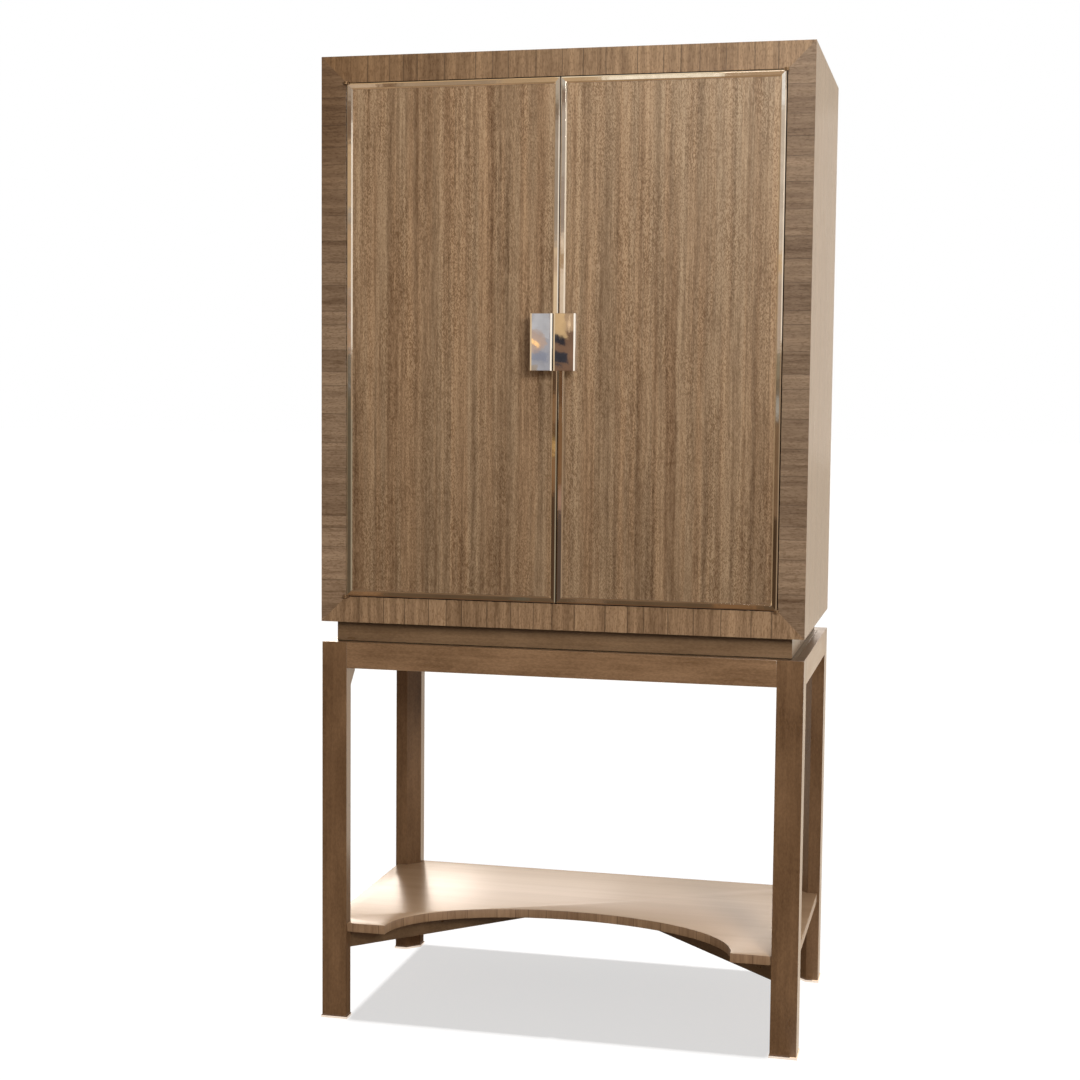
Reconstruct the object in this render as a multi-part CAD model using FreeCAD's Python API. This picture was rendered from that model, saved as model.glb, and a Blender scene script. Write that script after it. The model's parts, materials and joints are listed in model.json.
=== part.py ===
import FreeCAD, Part
import math
import os

# Bar cabinet: a tall two-door case on an open four-legged base.  Behind the doors a counter
# carries a serving shelf in two leaves that fold out over pull-out supports.
#
# Frame: millimetres, +Z up, +X to the right of a person facing the doors, +Y to the back.
# The origin is on the floor, midway across the width and midway between the faces of the
# pulls and the back of the back feet.  Places in depth are measured from the case front by at().

# ---- Overall -------------------------------------------------------------------------
overall_width = 1067.0
overall_height = 2134.0
case_depth = 600.0
panel_thickness = 20.0          # outer panels of the case and the boards of its front frame

# ---- Open base -----------------------------------------------------------------------
base_height = 856.0             # floor to the top of the base frame
base_set_back = 5.0             # front of the base behind the front of the case
leg_size = 57.0
leg_chamfer = 28.5              # inner corner of each leg, below the rails
chamfer_stop = 11.0             # square length of leg left under the rails
chamfer_run = 30.0              # height in which the chamfer reaches its full width
base_rail_height = 58.0
base_rail_thickness = 28.0
tenon_length = 22.0
tenon_thickness = 10.0
tenon_shoulder = 9.0            # rail left above and below each tenon
base_deck_thickness = 18.0
deck_rebate = 10.0              # ledge in the rails that carries the deck
ferrule_height = 6.0
ferrule_lip = 2.0               # how far a foot plate stands out around its leg
ferrule_edge = 1.2              # broken top edge of a foot plate
seat_gap = 0.3                  # air around a panel fitted between others

# ---- Lower shelf and its bearers -------------------------------------------------------
lower_shelf_top = 219.0
lower_shelf_thickness = 20.0
lower_shelf_inset = 6.0         # edge of the shelf behind the outer faces of the legs
leg_notch_gap = 0.5
cutout_half_width = 388.0       # half-elliptic bay in the front edge
cutout_depth = 222.0
bearer_height = 44.0
bearer_thickness = 22.0

# ---- Plinth between base and case ------------------------------------------------------
plinth_height = 46.0
plinth_inset = 28.0             # recess of the plinth behind the case, on all four sides
plinth_thickness = 19.0
block_size = 60.0               # corner blocks inside the plinth
bolt_radius = 4.0
bolt_hole_gap = 0.5
bolt_head_radius = 8.0
bolt_head_height = 5.5
bolt_in_block = 30.0            # length of bolt in a corner block

# ---- Case ------------------------------------------------------------------------------
frame_width = 57.0              # face width of the front frame
back_panel_thickness = 10.0
back_rebate = 10.0              # width of the rebate that holds the back panel
gable_thickness = 18.0          # inner side walls, in line with the inner edge of the frame
deck_thickness = 18.0           # inner floor and ceiling
batten_width = 60.0
batten_count = 3

# ---- Doors -----------------------------------------------------------------------------
door_gap = 2.0                  # air around and between the doors
door_thickness = 22.0
trim_width = 13.0               # metal edge moulding, mitred at the corners
trim_seat = 3.0                 # depth of its rebate in the door
trim_proud = 4.0                # highest line of its face above the door's face
trim_outer_bevel = 1.4          # bevel at the edge of the door
trim_inner_bevel = 3.0          # width of the bevel that falls to the veneer
trim_fall = 0.8                 # how far the band between the bevels slopes inwards
trim_inner_edge = 0.4           # lowest line of its face above the door's face

# ---- Knife hinges ------------------------------------------------------------------------
pivot_forward = 7.0             # pivot axis in front of the case front
pivot_inboard = 1.0             # pivot axis inside the edge of the opening
pivot_radius = 2.0
pivot_clearance = 0.05
pivot_plate_thickness = 3.0
pivot_plate_length = 48.0
pivot_plate_width = 12.0
pivot_plate_set_back = 4.0      # plate behind the door's face
pivot_neck_width = 7.0
knuckle_radius = 4.0
plate_air = 0.1                 # air between the two plates of a hinge
plate_edge_gap = 0.2            # outer edge of a plate to the side of the opening

# ---- Pulls -------------------------------------------------------------------------------
pull_width = 48.0
pull_height = 120.0
pull_depth = 24.0
pull_reach = 56.0               # front of a pull to the front of the case
pull_gap = 2.0                  # between the two pulls
pull_edge = 2.5                 # bevel down the long edges
post_size = 11.0                # square section of the posts behind a pull
post_spacing = 72.0
screw_radius = 2.0
screw_head_radius = 4.5
screw_head_height = 2.5
screw_in_post = 12.0

# ---- Door catches ------------------------------------------------------------------------
catch_width = 46.0
catch_height = 15.0
catch_depth = 14.0
catch_air = 0.5
catch_from_middle = 40.0        # nearer edge of a catch to the middle of the case
strike_thickness = 1.5

# ---- Counter and fold-out leaves ---------------------------------------------------------
counter_rise = 191.0            # top of the counter above the inner floor
counter_thickness = 20.0
counter_set_back = 30.0         # hinge axis of the leaves behind the case front
leaf_length = 300.0
leaf_side_margin = 61.0         # outer edge of a leaf to the side of the opening
leaf_middle_gap = 3.0
leaf_edge_gap = 0.2             # edge of leaf or counter to the hinge axis
barrel_radius = 3.0
barrel_air = 0.4
hinge_pin_radius = 1.2
flap_thickness = 1.2
flap_width = 16.0
knuckle_count = 5
knuckle_air = 0.3

# ---- Pull-out supports under the leaves ----------------------------------------------------
loper_width = 24.0
loper_height = 36.0
loper_length = 330.0
loper_set_back = 36.0           # front end behind the case front when pushed in
loper_from_side = 230.0         # middle of a support to the door's pivot axis
loper_top_gap = 0.3
loper_side_gap = 0.5
cheek_thickness = 12.0
runner_thickness = 8.0
guide_length = 360.0
guide_set_back = 60.0
knob_radius = 6.0
knob_length = 6.0
knob_neck_radius = 3.0
knob_rim = 3.0                  # length of a knob's straight front part

# ---- Shelves, stemware rack and bottle rack ------------------------------------------------
upper_shelf_rise = 460.0        # top of the upper shelf above the counter
upper_shelf_thickness = 20.0
upper_shelf_set_back = 70.0
glass_shelf_rise = 240.0        # top of the glass shelf above the upper shelf
glass_thickness = 8.0
shelf_end_gap = 1.5
pin_radius = 3.0
pin_out = 9.0                   # length of a shelf pin outside the gable
pin_in = 10.0
pin_set_in = 60.0               # pins behind the shelf's front edge and before its back edge
mirror_thickness = 5.0
mirror_margin = 6.0
stem_rail_count = 7
stem_rail_pitch = 118.0
stem_web_width = 14.0
stem_web_height = 24.0
stem_strip_width = 90.0
stem_strip_thickness = 8.0
divider_count = 7
divider_thickness = 12.0
divider_height = 96.0
divider_depth = 420.0
divider_scoop = 40.0            # radius of the hand scoop in a divider's front corner

# ---- Worked-out places ---------------------------------------------------------------------
half_width = overall_width / 2
front = pull_reach - (pull_reach + case_depth + ferrule_lip) / 2
back = front + case_depth
case_bottom = base_height + plinth_height
opening_half = half_width - frame_width
opening_bottom = case_bottom + frame_width
opening_top = overall_height - frame_width
counter_height = opening_bottom + counter_rise
upper_shelf_top = counter_height + upper_shelf_rise
glass_shelf_top = upper_shelf_top + glass_shelf_rise
inner_half = half_width - panel_thickness
door_bottom = opening_bottom + door_gap
door_top = opening_top - door_gap
door_outer = opening_half - door_gap
door_inner = door_gap / 2
door_middle_height = (case_bottom + overall_height) / 2
back_panel_front = back - back_panel_thickness
pivot_x = opening_half - pivot_inboard
leaf_axis_height = counter_height
leaf_outer = opening_half - leaf_side_margin
leaf_inner = leaf_middle_gap / 2
base_front = front + base_set_back
rail_bottom = base_height - base_rail_height
leg_inner = half_width - leg_size
mirror_front = back_panel_front - mirror_thickness
FAR = 4000.0                    # longer than anything here, for cutting solids


def at(depth):
    """Y of a place that lies `depth` behind the front of the case."""
    return front + depth


# ---- Shape helpers -------------------------------------------------------------------------
def vec(x, y, z):
    return FreeCAD.Vector(x, y, z)


def box(x0, x1, y0, y1, z0, z1):
    return Part.makeBox(x1 - x0, y1 - y0, z1 - z0, vec(x0, y0, z0))


def prism(points, direction):
    """A closed outline of 3-D points, pushed along `direction`."""
    wire = Part.makePolygon(points + [points[0]])
    return Part.Face(wire).extrude(direction)


def prism_z(outline, z0, z1):
    """Outline of (x, y) pairs, standing from z0 to z1."""
    return prism([vec(x, y, z0) for x, y in outline], vec(0, 0, z1 - z0))


def prism_x(outline, x0, x1):
    """Outline of (y, z) pairs, lying from x0 to x1."""
    return prism([vec(x0, y, z) for y, z in outline], vec(x1 - x0, 0, 0))


def prism_y(outline, y0, y1):
    """Outline of (x, z) pairs, running from y0 to y1."""
    return prism([vec(x, y0, z) for x, z in outline], vec(0, y1 - y0, 0))


def rod(radius, start, direction, length):
    return Part.makeCylinder(radius, length, start, direction)


def mirrored(shape):
    """The same piece on the other side of the middle plane."""
    return shape.mirror(vec(0, 0, 0), vec(1, 0, 0))


def pair(shape):
    return Part.makeCompound([shape, mirrored(shape)])


def one_solid(shape):
    return shape.removeSplitter().Solids[0]


def evenly(start, end, count):
    """`count` places from start to end, both included."""
    return [start + (end - start) * i / (count - 1) for i in range(count)]


# ---- Open base -----------------------------------------------------------------------------
def leg_section(grow=0.0):
    """Plan of the front right leg with its chamfered inner corner, grown by `grow`."""
    x0, x1 = leg_inner - grow, half_width + grow
    y0, y1 = base_front - grow, base_front + leg_size + grow
    cut = leg_chamfer + grow * (2 - math.sqrt(2))
    return [(x1, y0), (x1, y1), (x0 + cut, y1), (x0, y1 - cut), (x0, y0)]


def to_back(shape):
    """The front right piece turned into the back right one."""
    middle = (base_front + back) / 2
    return shape.mirror(vec(0, middle, 0), vec(0, 1, 0))


def front_right_leg():
    """Square post; below a square top the inner corner is chamfered, with a sloped stop."""
    post = box(leg_inner, half_width, base_front, base_front + leg_size, ferrule_height, base_height)
    stop_top = rail_bottom - chamfer_stop
    stop_foot = stop_top - chamfer_run
    corner_x, corner_y = leg_inner, base_front + leg_size
    lower = prism_z([(corner_x, corner_y), (corner_x + leg_chamfer, corner_y),
                     (corner_x, corner_y - leg_chamfer)], 0, stop_foot)
    stop = prism([vec(corner_x, corner_y, stop_foot), vec(corner_x + leg_chamfer, corner_y, stop_foot),
                  vec(corner_x, corner_y - leg_chamfer, stop_foot)], vec(0, 0, chamfer_run))
    slope = prism([vec(corner_x, corner_y, stop_top),
                   vec(corner_x + leg_chamfer, corner_y, stop_foot),
                   vec(corner_x + leg_chamfer, corner_y, stop_top)], vec(-leg_size, -leg_size, 0))
    slope.translate(vec(leg_size / 2, leg_size / 2, 0))
    leg = post.cut(lower).cut(stop.cut(slope))
    for mortise in (rail_tenon_x(1), rail_tenon_y(1)):
        leg = leg.cut(mortise)
    return one_solid(leg)


def rail_tenon_x(side):
    """Tenon of the front rail in the right (side 1) or left (side -1) leg."""
    y0 = base_front + (base_rail_thickness - tenon_thickness) / 2
    ends = sorted([side * leg_inner, side * (leg_inner + tenon_length)])
    return box(ends[0], ends[1], y0, y0 + tenon_thickness,
               rail_bottom + tenon_shoulder, base_height - tenon_shoulder)


def rail_tenon_y(side):
    """Tenon of the right rail in the front (side 1) or back (side -1) leg."""
    x1 = half_width - (base_rail_thickness - tenon_thickness) / 2
    shoulder = base_front + leg_size
    tenon = box(x1 - tenon_thickness, x1, shoulder - tenon_length, shoulder,
                rail_bottom + tenon_shoulder, base_height - tenon_shoulder)
    return tenon if side == 1 else to_back(tenon)


def front_base_rail():
    rail = box(-leg_inner, leg_inner, base_front, base_front + base_rail_thickness,
               rail_bottom, base_height)
    ledge = box(-leg_inner, leg_inner, base_front + base_rail_thickness - deck_rebate, back,
                base_height - base_deck_thickness, base_height)
    return one_solid(rail.fuse([rail_tenon_x(1), rail_tenon_x(-1)]).cut(ledge))


def right_base_rail():
    inner = half_width - base_rail_thickness
    rail = box(inner, half_width, base_front + leg_size, back - leg_size, rail_bottom, base_height)
    ledge = box(0, inner + deck_rebate, base_front, back,
                base_height - base_deck_thickness, base_height)
    return one_solid(rail.fuse([rail_tenon_y(1), rail_tenon_y(-1)]).cut(ledge))


def base_deck():
    """Panel that closes the base frame, seated in the rails and notched round the legs."""
    edge = base_rail_thickness - deck_rebate + seat_gap
    deck = box(-half_width + edge, half_width - edge, base_front + edge, back - edge,
               base_height - base_deck_thickness, base_height)
    notch = box(leg_inner - seat_gap, half_width, base_front, base_front + leg_size + seat_gap,
                rail_bottom, base_height)
    for cut in (notch, mirrored(notch), to_back(notch), mirrored(to_back(notch))):
        deck = deck.cut(cut)
    for x, y in block_places():
        deck = deck.cut(rod(bolt_radius + bolt_hole_gap, vec(x, y, 0), vec(0, 0, 1), FAR))
    return one_solid(deck)


def ferrule():
    """Polished plate under the front right foot, a little larger than the leg."""
    plate = prism_z(leg_section(ferrule_lip), 0, ferrule_height)
    rim = [edge for edge in plate.Edges if edge.BoundBox.ZMin > ferrule_height / 2]
    return plate.makeChamfer(ferrule_edge, rim).Solids[0]


# ---- Lower shelf -----------------------------------------------------------------------------
def lower_shelf():
    """Notched round the legs, with a half-elliptic bay in its front edge."""
    edge_x = half_width - lower_shelf_inset
    edge_front = base_front + lower_shelf_inset
    bottom = lower_shelf_top - lower_shelf_thickness
    board = box(-edge_x, edge_x, edge_front, back - lower_shelf_inset, bottom, lower_shelf_top)
    notch = prism_z(leg_section(leg_notch_gap), 0, rail_bottom)
    for cut in (notch, mirrored(notch), to_back(notch), mirrored(to_back(notch))):
        board = board.cut(cut)
    bay = Part.Ellipse(vec(0, edge_front, bottom), cutout_half_width, cutout_depth).toShape()
    bay = Part.Face(Part.Wire(bay)).extrude(vec(0, 0, lower_shelf_thickness))
    return one_solid(board.cut(bay))


def right_bearer():
    """Bar from the chamfer of the front right leg to the middle of the back bearer."""
    top = lower_shelf_top - lower_shelf_thickness
    bottom = top - bearer_height
    start = vec(leg_inner + leg_chamfer / 2, base_front + leg_size - leg_chamfer / 2, bottom)
    along = vec(0, back - leg_size, bottom) - start
    across = vec(-along.y, along.x, 0).normalize() * (bearer_thickness / 2)
    outline = [start - along - across, start - along + across,
               start + along * 2 + across, start + along * 2 - across]
    bar = prism(outline, vec(0, 0, bearer_height))
    reach = box(0, leg_inner + leg_chamfer, base_front, back - leg_size, bottom, top)
    return one_solid(bar.common(reach).cut(prism_z(leg_section(), 0, rail_bottom)))


def back_bearer():
    """Bar between the back legs, scribed to their chamfers; the front bearers meet on it."""
    top = lower_shelf_top - lower_shelf_thickness
    bar = box(-half_width + leg_chamfer, half_width - leg_chamfer,
              back - leg_size, back - leg_size + bearer_thickness, top - bearer_height, top)
    leg = to_back(prism_z(leg_section(), 0, rail_bottom))
    return one_solid(bar.cut([leg, mirrored(leg)]))


# ---- Plinth and the bolts that hold the case down ----------------------------------------------
def plinth_outline(inset):
    return half_width - inset, at(inset), back - inset


def plinth_front():
    """Front board, mitred to the side boards."""
    x_out, y_out, _ = plinth_outline(plinth_inset)
    x_in, y_in, _ = plinth_outline(plinth_inset + plinth_thickness)
    return prism_z([(-x_out, y_out), (x_out, y_out), (x_in, y_in), (-x_in, y_in)],
                   base_height, case_bottom)


def plinth_back():
    x_out, _, y_out = plinth_outline(plinth_inset)
    x_in, _, y_in = plinth_outline(plinth_inset + plinth_thickness)
    return prism_z([(-x_out, y_out), (-x_in, y_in), (x_in, y_in), (x_out, y_out)],
                   base_height, case_bottom)


def plinth_right():
    x_out, front_out, back_out = plinth_outline(plinth_inset)
    x_in, front_in, back_in = plinth_outline(plinth_inset + plinth_thickness)
    return prism_z([(x_out, front_out), (x_out, back_out), (x_in, back_in), (x_in, front_in)],
                   base_height, case_bottom)


def block_places():
    """Middles of the four corner blocks inside the plinth."""
    x_in, front_in, back_in = plinth_outline(plinth_inset + plinth_thickness)
    half = block_size / 2
    return [(side * (x_in - half), y) for side in (-1, 1) for y in (front_in + half, back_in - half)]


def plinth_blocks():
    blocks = []
    half = block_size / 2
    for x, y in block_places():
        block = box(x - half, x + half, y - half, y + half, base_height, case_bottom)
        blocks.append(block.cut(rod(bolt_radius, vec(x, y, base_height), vec(0, 0, 1), bolt_in_block)))
    return Part.makeCompound(blocks)


def case_bolts():
    """Hexagon bolts from under the base deck into the corner blocks of the plinth."""
    bolts = []
    head_top = base_height - base_deck_thickness
    for x, y in block_places():
        corners = [(x + bolt_head_radius * math.cos(math.radians(60 * i)),
                    y + bolt_head_radius * math.sin(math.radians(60 * i))) for i in range(6)]
        head = prism_z(corners, head_top - bolt_head_height, head_top)
        shank = rod(bolt_radius, vec(x, y, head_top), vec(0, 0, 1),
                    base_deck_thickness + bolt_in_block)
        bolts.append(one_solid(head.fuse(shank)))
    return Part.makeCompound(bolts)


# ---- Case: every outer board meets its neighbours in a mitre ------------------------------------
def upright_wedge(inner_x, inner_bottom, inner_top):
    """Trims the ends of a right-hand upright to mitres."""
    return prism_y([(half_width, case_bottom), (half_width, overall_height),
                    (inner_x, inner_top), (inner_x, inner_bottom)], front, back)


def level_wedge(outer, inner, inner_x):
    """Trims the ends of a top or bottom board to mitres; `outer` is its outer face."""
    return prism_y([(-half_width, outer), (half_width, outer), (inner_x, inner), (-inner_x, inner)],
                   front, back)


def back_seat():
    """Space for the back panel in the rebates of the four outer panels."""
    reach = inner_half + back_rebate
    return box(-reach, reach, back_panel_front, back,
               case_bottom + panel_thickness - back_rebate,
               overall_height - panel_thickness + back_rebate)


def right_side_panel():
    t = panel_thickness
    panel = prism_z([(half_width, front), (half_width, back), (inner_half, back),
                     (inner_half, front + t)], case_bottom, overall_height)
    wedge = upright_wedge(inner_half, case_bottom + t, overall_height - t)
    return one_solid(panel.common(wedge).cut(back_seat()))


def level_panel(outer, inner):
    """Top or bottom panel of the case, from its outer to its inner face."""
    panel = prism_x([(front, outer), (back, outer), (back, inner), (front + panel_thickness, inner)],
                    -half_width, half_width)
    return panel.common(level_wedge(outer, inner, inner_half)).cut(back_seat())


def bottom_panel():
    return one_solid(level_panel(case_bottom, case_bottom + panel_thickness))


def top_panel():
    return one_solid(level_panel(overall_height, overall_height - panel_thickness))


def right_stile():
    t = panel_thickness
    stile = prism_z([(half_width, front), (inner_half, front + t), (opening_half, front + t),
                     (opening_half, front)], case_bottom, overall_height)
    return one_solid(stile.common(upright_wedge(opening_half, opening_bottom, opening_top)))


def frame_rail(outer, inner, opening):
    """Rail of the front frame: mitred to the stiles, and along its outer edge to a panel."""
    rail = prism_x([(front, outer), (front + panel_thickness, inner),
                    (front + panel_thickness, opening), (front, opening)], -half_width, half_width)
    return one_solid(rail.common(level_wedge(outer, opening, opening_half)).cut(fixed_pivots()))


def top_rail():
    return frame_rail(overall_height, overall_height - panel_thickness, opening_top)


def bottom_rail():
    return frame_rail(case_bottom, case_bottom + panel_thickness, opening_bottom)


def back_panel():
    reach = inner_half + back_rebate - seat_gap
    return box(-reach, reach, back_panel_front, back,
               case_bottom + panel_thickness - back_rebate + seat_gap,
               overall_height - panel_thickness + back_rebate - seat_gap)


def right_gable():
    """Inner side wall with two holes for shelf pins."""
    wall = box(opening_half, opening_half + gable_thickness, at(panel_thickness), back_panel_front,
               case_bottom + panel_thickness, overall_height - panel_thickness)
    for y in pin_places_y():
        wall = wall.cut(rod(pin_radius, vec(opening_half, y, pin_height()), vec(1, 0, 0), pin_in))
    return one_solid(wall)


def batten_row(x0, x1, z0, z1):
    """Battens from front to back that fill the space between an outer and an inner panel."""
    places = evenly(at(panel_thickness), back_panel_front - batten_width, batten_count)
    return [box(x0, x1, y, y + batten_width, z0, z1) for y in places]


def gable_battens():
    row = batten_row(opening_half + gable_thickness, inner_half,
                     case_bottom + panel_thickness, overall_height - panel_thickness)
    return row + [mirrored(batten) for batten in row]


def floor_battens():
    return batten_row(-opening_half, opening_half,
                      case_bottom + panel_thickness, opening_bottom - deck_thickness)


def ceiling_battens():
    return batten_row(-opening_half, opening_half,
                      opening_top + deck_thickness, overall_height - panel_thickness)


def case_floor():
    return box(-opening_half, opening_half, at(panel_thickness), back_panel_front,
               opening_bottom - deck_thickness, opening_bottom)


def case_ceiling():
    return box(-opening_half, opening_half, at(panel_thickness), back_panel_front,
               opening_top, opening_top + deck_thickness)


# ---- Knife hinges at the outer corners of the doors ----------------------------------------------
def pivot_plate(z0, z1, bore):
    """Plan of a hinge plate on the right: a knuckle in front, a neck, and a plate let into wood."""
    y_axis = front - pivot_forward
    knuckle = rod(knuckle_radius, vec(pivot_x, y_axis, z0), vec(0, 0, 1), z1 - z0)
    edge = opening_half - plate_edge_gap
    neck = box(edge - pivot_neck_width, edge, y_axis, at(pivot_plate_set_back + pivot_plate_width), z0, z1)
    far = edge - pivot_plate_length
    plate = box(far, edge, at(pivot_plate_set_back), at(pivot_plate_set_back + pivot_plate_width), z0, z1)
    shape = knuckle.fuse([neck, plate])
    if bore:
        shape = shape.cut(rod(bore, vec(pivot_x, y_axis, z0), vec(0, 0, 1), z1 - z0))
    return one_solid(shape)


def pivot_levels(at_top, moving):
    """Lowest and highest level of a hinge plate at the top or the bottom of a door."""
    half_air = plate_air / 2
    if at_top:
        middle = (door_top + opening_top) / 2
        start = middle - half_air - pivot_plate_thickness if moving else middle + half_air
    else:
        middle = (door_bottom + opening_bottom) / 2
        start = middle + half_air if moving else middle - half_air - pivot_plate_thickness
    return start, start + pivot_plate_thickness


def fixed_pivots():
    """The four plates let into the frame, each with its pivot pin."""
    plates = []
    for at_top in (True, False):
        z0, z1 = pivot_levels(at_top, False)
        moving0, moving1 = pivot_levels(at_top, True)
        plate = pivot_plate(z0, z1, None)
        pin = rod(pivot_radius, vec(pivot_x, front - pivot_forward, min(z0, moving0)),
                  vec(0, 0, 1), max(z1, moving1) - min(z0, moving0))
        plates.append(one_solid(plate.fuse(pin)))
    return plates + [mirrored(plate) for plate in plates]


def door_pivots():
    """The two plates let into the right door, bored for the pins."""
    bore = pivot_radius + pivot_clearance
    return [pivot_plate(*pivot_levels(at_top, True), bore) for at_top in (True, False)]


# ---- Doors -----------------------------------------------------------------------------------
def trim_section():
    """Profile of the door's metal edge: (distance in from the edge, height above the face)."""
    return [(0, -trim_seat), (0, trim_proud - trim_outer_bevel), (trim_outer_bevel, trim_proud),
            (trim_width - trim_inner_bevel, trim_proud - trim_fall), (trim_width, trim_inner_edge),
            (trim_width, -trim_seat)]


def door_trims():
    """Hinge side, meeting side, top and bottom strips of the right door, mitred together."""
    section = trim_section()
    x0, x1, z0, z1 = door_inner, door_outer, door_bottom, door_top
    middle_x, middle_z = (x0 + x1) / 2, (z0 + z1) / 2
    reach = (x1 - x0) / 2
    strips = {
        "hinge": prism_z([(x1 - d, front - h) for d, h in section], z0, z1),
        "meeting": prism_z([(x0 + d, front - h) for d, h in section], z0, z1),
        "top": prism_x([(front - h, z1 - d) for d, h in section], x0, x1),
        "bottom": prism_x([(front - h, z0 + d) for d, h in section], x0, x1),
    }
    wedges = {
        "hinge": [(x1, z0), (x1, z1), (middle_x, z1 - reach), (middle_x, z0 + reach)],
        "meeting": [(x0, z0), (x0, z1), (middle_x, z1 - reach), (middle_x, z0 + reach)],
        "top": [(x0, z1), (x1, z1), (middle_x, z1 - reach)],
        "bottom": [(x0, z0), (x1, z0), (middle_x, z0 + reach)],
    }
    trims = []
    for name, strip in strips.items():
        wedge = prism_y(wedges[name], front - trim_proud, at(trim_seat))
        trims.append(one_solid(strip.common(wedge).cut(door_pivots())))
    return trims


def right_door_panel():
    """Flat veneered panel, rebated all round for the trim and cut for the hinge plates."""
    w = trim_width
    panel = box(door_inner, door_outer, front, at(door_thickness), door_bottom, door_top)
    field = box(door_inner + w, door_outer - w, front, at(trim_seat), door_bottom + w, door_top - w)
    slab = box(door_inner, door_outer, front, at(trim_seat), door_bottom, door_top)
    panel = panel.cut(slab.cut(field))
    for plate in door_pivots():
        panel = panel.cut(plate)
    for screw in pull_screws():
        panel = panel.cut(screw)
    return one_solid(panel)


def pull_middle_x():
    return pull_gap / 2 + pull_width / 2


def right_pull():
    """Block with bevelled long edges that stands off the door on two posts."""
    x0, x1 = pull_gap / 2, pull_gap / 2 + pull_width
    y0, y1 = front - pull_reach, front - pull_reach + pull_depth
    e = pull_edge
    outline = [(x0 + e, y0), (x1 - e, y0), (x1, y0 + e), (x1, y1), (x0, y1), (x0, y0 + e)]
    return prism_z(outline, door_middle_height - pull_height / 2, door_middle_height + pull_height / 2)


def post_heights():
    return [door_middle_height - post_spacing / 2, door_middle_height + post_spacing / 2]


def pull_posts():
    """Two square posts of one pull, drilled for the screws."""
    posts = []
    x, half = pull_middle_x(), post_size / 2
    start = front - pull_reach + pull_depth
    for z in post_heights():
        post = box(x - half, x + half, start, front, z - half, z + half)
        hole = rod(screw_radius, vec(x, front - screw_in_post, z), vec(0, 1, 0), screw_in_post)
        posts.append(one_solid(post.cut(hole)))
    return posts


def pull_screws():
    """Pan-headed screws through the door into the posts."""
    screws = []
    x = pull_middle_x()
    for z in post_heights():
        shank = rod(screw_radius, vec(x, front - screw_in_post, z), vec(0, 1, 0),
                    door_thickness + screw_in_post)
        head = rod(screw_head_radius, vec(x, at(door_thickness), z), vec(0, 1, 0), screw_head_height)
        screws.append(one_solid(shank.fuse(head)))
    return screws


def right_strike():
    """Steel plate on the back of the door, opposite the catch."""
    x0 = catch_from_middle
    return box(x0, x0 + catch_width, at(door_thickness), at(door_thickness + strike_thickness),
               opening_top - catch_height, door_top)


def right_catch():
    """Magnetic catch under the ceiling, which also stops the door."""
    x0 = catch_from_middle
    y0 = at(door_thickness + strike_thickness + catch_air)
    return box(x0, x0 + catch_width, y0, y0 + catch_depth, opening_top - catch_height, opening_top)


# ---- Counter, fold-out leaves and their hinges ------------------------------------------------
def axis_y():
    return at(counter_set_back)


def barrel_relief(x0, x1):
    return rod(barrel_radius + barrel_air, vec(x0, axis_y(), leaf_axis_height), vec(1, 0, 0), x1 - x0)


def flap(up):
    """Outline (y, z) of a hinge flap let into the edge of the leaf (up 1) or counter (up -1)."""
    y0 = axis_y() + leaf_edge_gap
    z0 = leaf_axis_height + up * (barrel_radius + barrel_air)
    z1 = leaf_axis_height + up * flap_width
    return [(y0, z0), (y0 + flap_thickness, z0), (y0 + flap_thickness, z1), (y0, z1)]


def knuckle_spans(moving):
    """X spans of the right hinge's knuckles; the fixed flap has the first and the last."""
    pitch = (leaf_outer - leaf_inner) / knuckle_count
    spans = []
    for i in range(knuckle_count):
        if (i % 2 == 1) == moving:
            x0 = leaf_inner + i * pitch
            spans.append((x0 + knuckle_air / 2, x0 + pitch - knuckle_air / 2))
    return spans


def leaf_hinge(moving):
    """One half of the right leaf's long hinge: a flap with its knuckles, bored for the pin."""
    up = 1 if moving else -1
    shape = prism_x(flap(up), leaf_inner, leaf_outer)
    y0 = axis_y() + leaf_edge_gap
    for x0, x1 in knuckle_spans(moving):
        levels = sorted([leaf_axis_height, leaf_axis_height + up * flap_width])
        link = box(x0, x1, y0, y0 + flap_thickness, levels[0], levels[1])
        knuckle = rod(barrel_radius, vec(x0, axis_y(), leaf_axis_height), vec(1, 0, 0), x1 - x0)
        shape = shape.fuse([link, knuckle])
    bore = rod(hinge_pin_radius + pivot_clearance, vec(leaf_inner, axis_y(), leaf_axis_height),
               vec(1, 0, 0), leaf_outer - leaf_inner)
    return one_solid(shape.cut(bore))


def hinge_pin():
    return rod(hinge_pin_radius, vec(leaf_inner, axis_y(), leaf_axis_height), vec(1, 0, 0),
               leaf_outer - leaf_inner)


def counter():
    """Fixed counter; its front edge is cut for the hinges of both leaves."""
    board = box(-opening_half, opening_half, axis_y() + leaf_edge_gap, back_panel_front,
                counter_height - counter_thickness, counter_height)
    y0 = axis_y() + leaf_edge_gap
    seat = box(leaf_inner, leaf_outer, y0, y0 + flap_thickness,
               counter_height - flap_width, counter_height)
    relief = barrel_relief(leaf_inner, leaf_outer)
    return one_solid(board.cut([seat, relief, mirrored(seat), mirrored(relief)]))


def right_leaf():
    """Half of the serving shelf, folded back on the counter."""
    y0 = axis_y() + leaf_edge_gap
    board = box(leaf_inner, leaf_outer, y0, axis_y() + leaf_length,
                counter_height, counter_height + counter_thickness)
    seat = box(leaf_inner, leaf_outer, y0, y0 + flap_thickness, counter_height,
               counter_height + flap_width)
    return one_solid(board.cut([seat, barrel_relief(leaf_inner, leaf_outer)]))


def loper_middle_x():
    return pivot_x - loper_from_side


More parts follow.
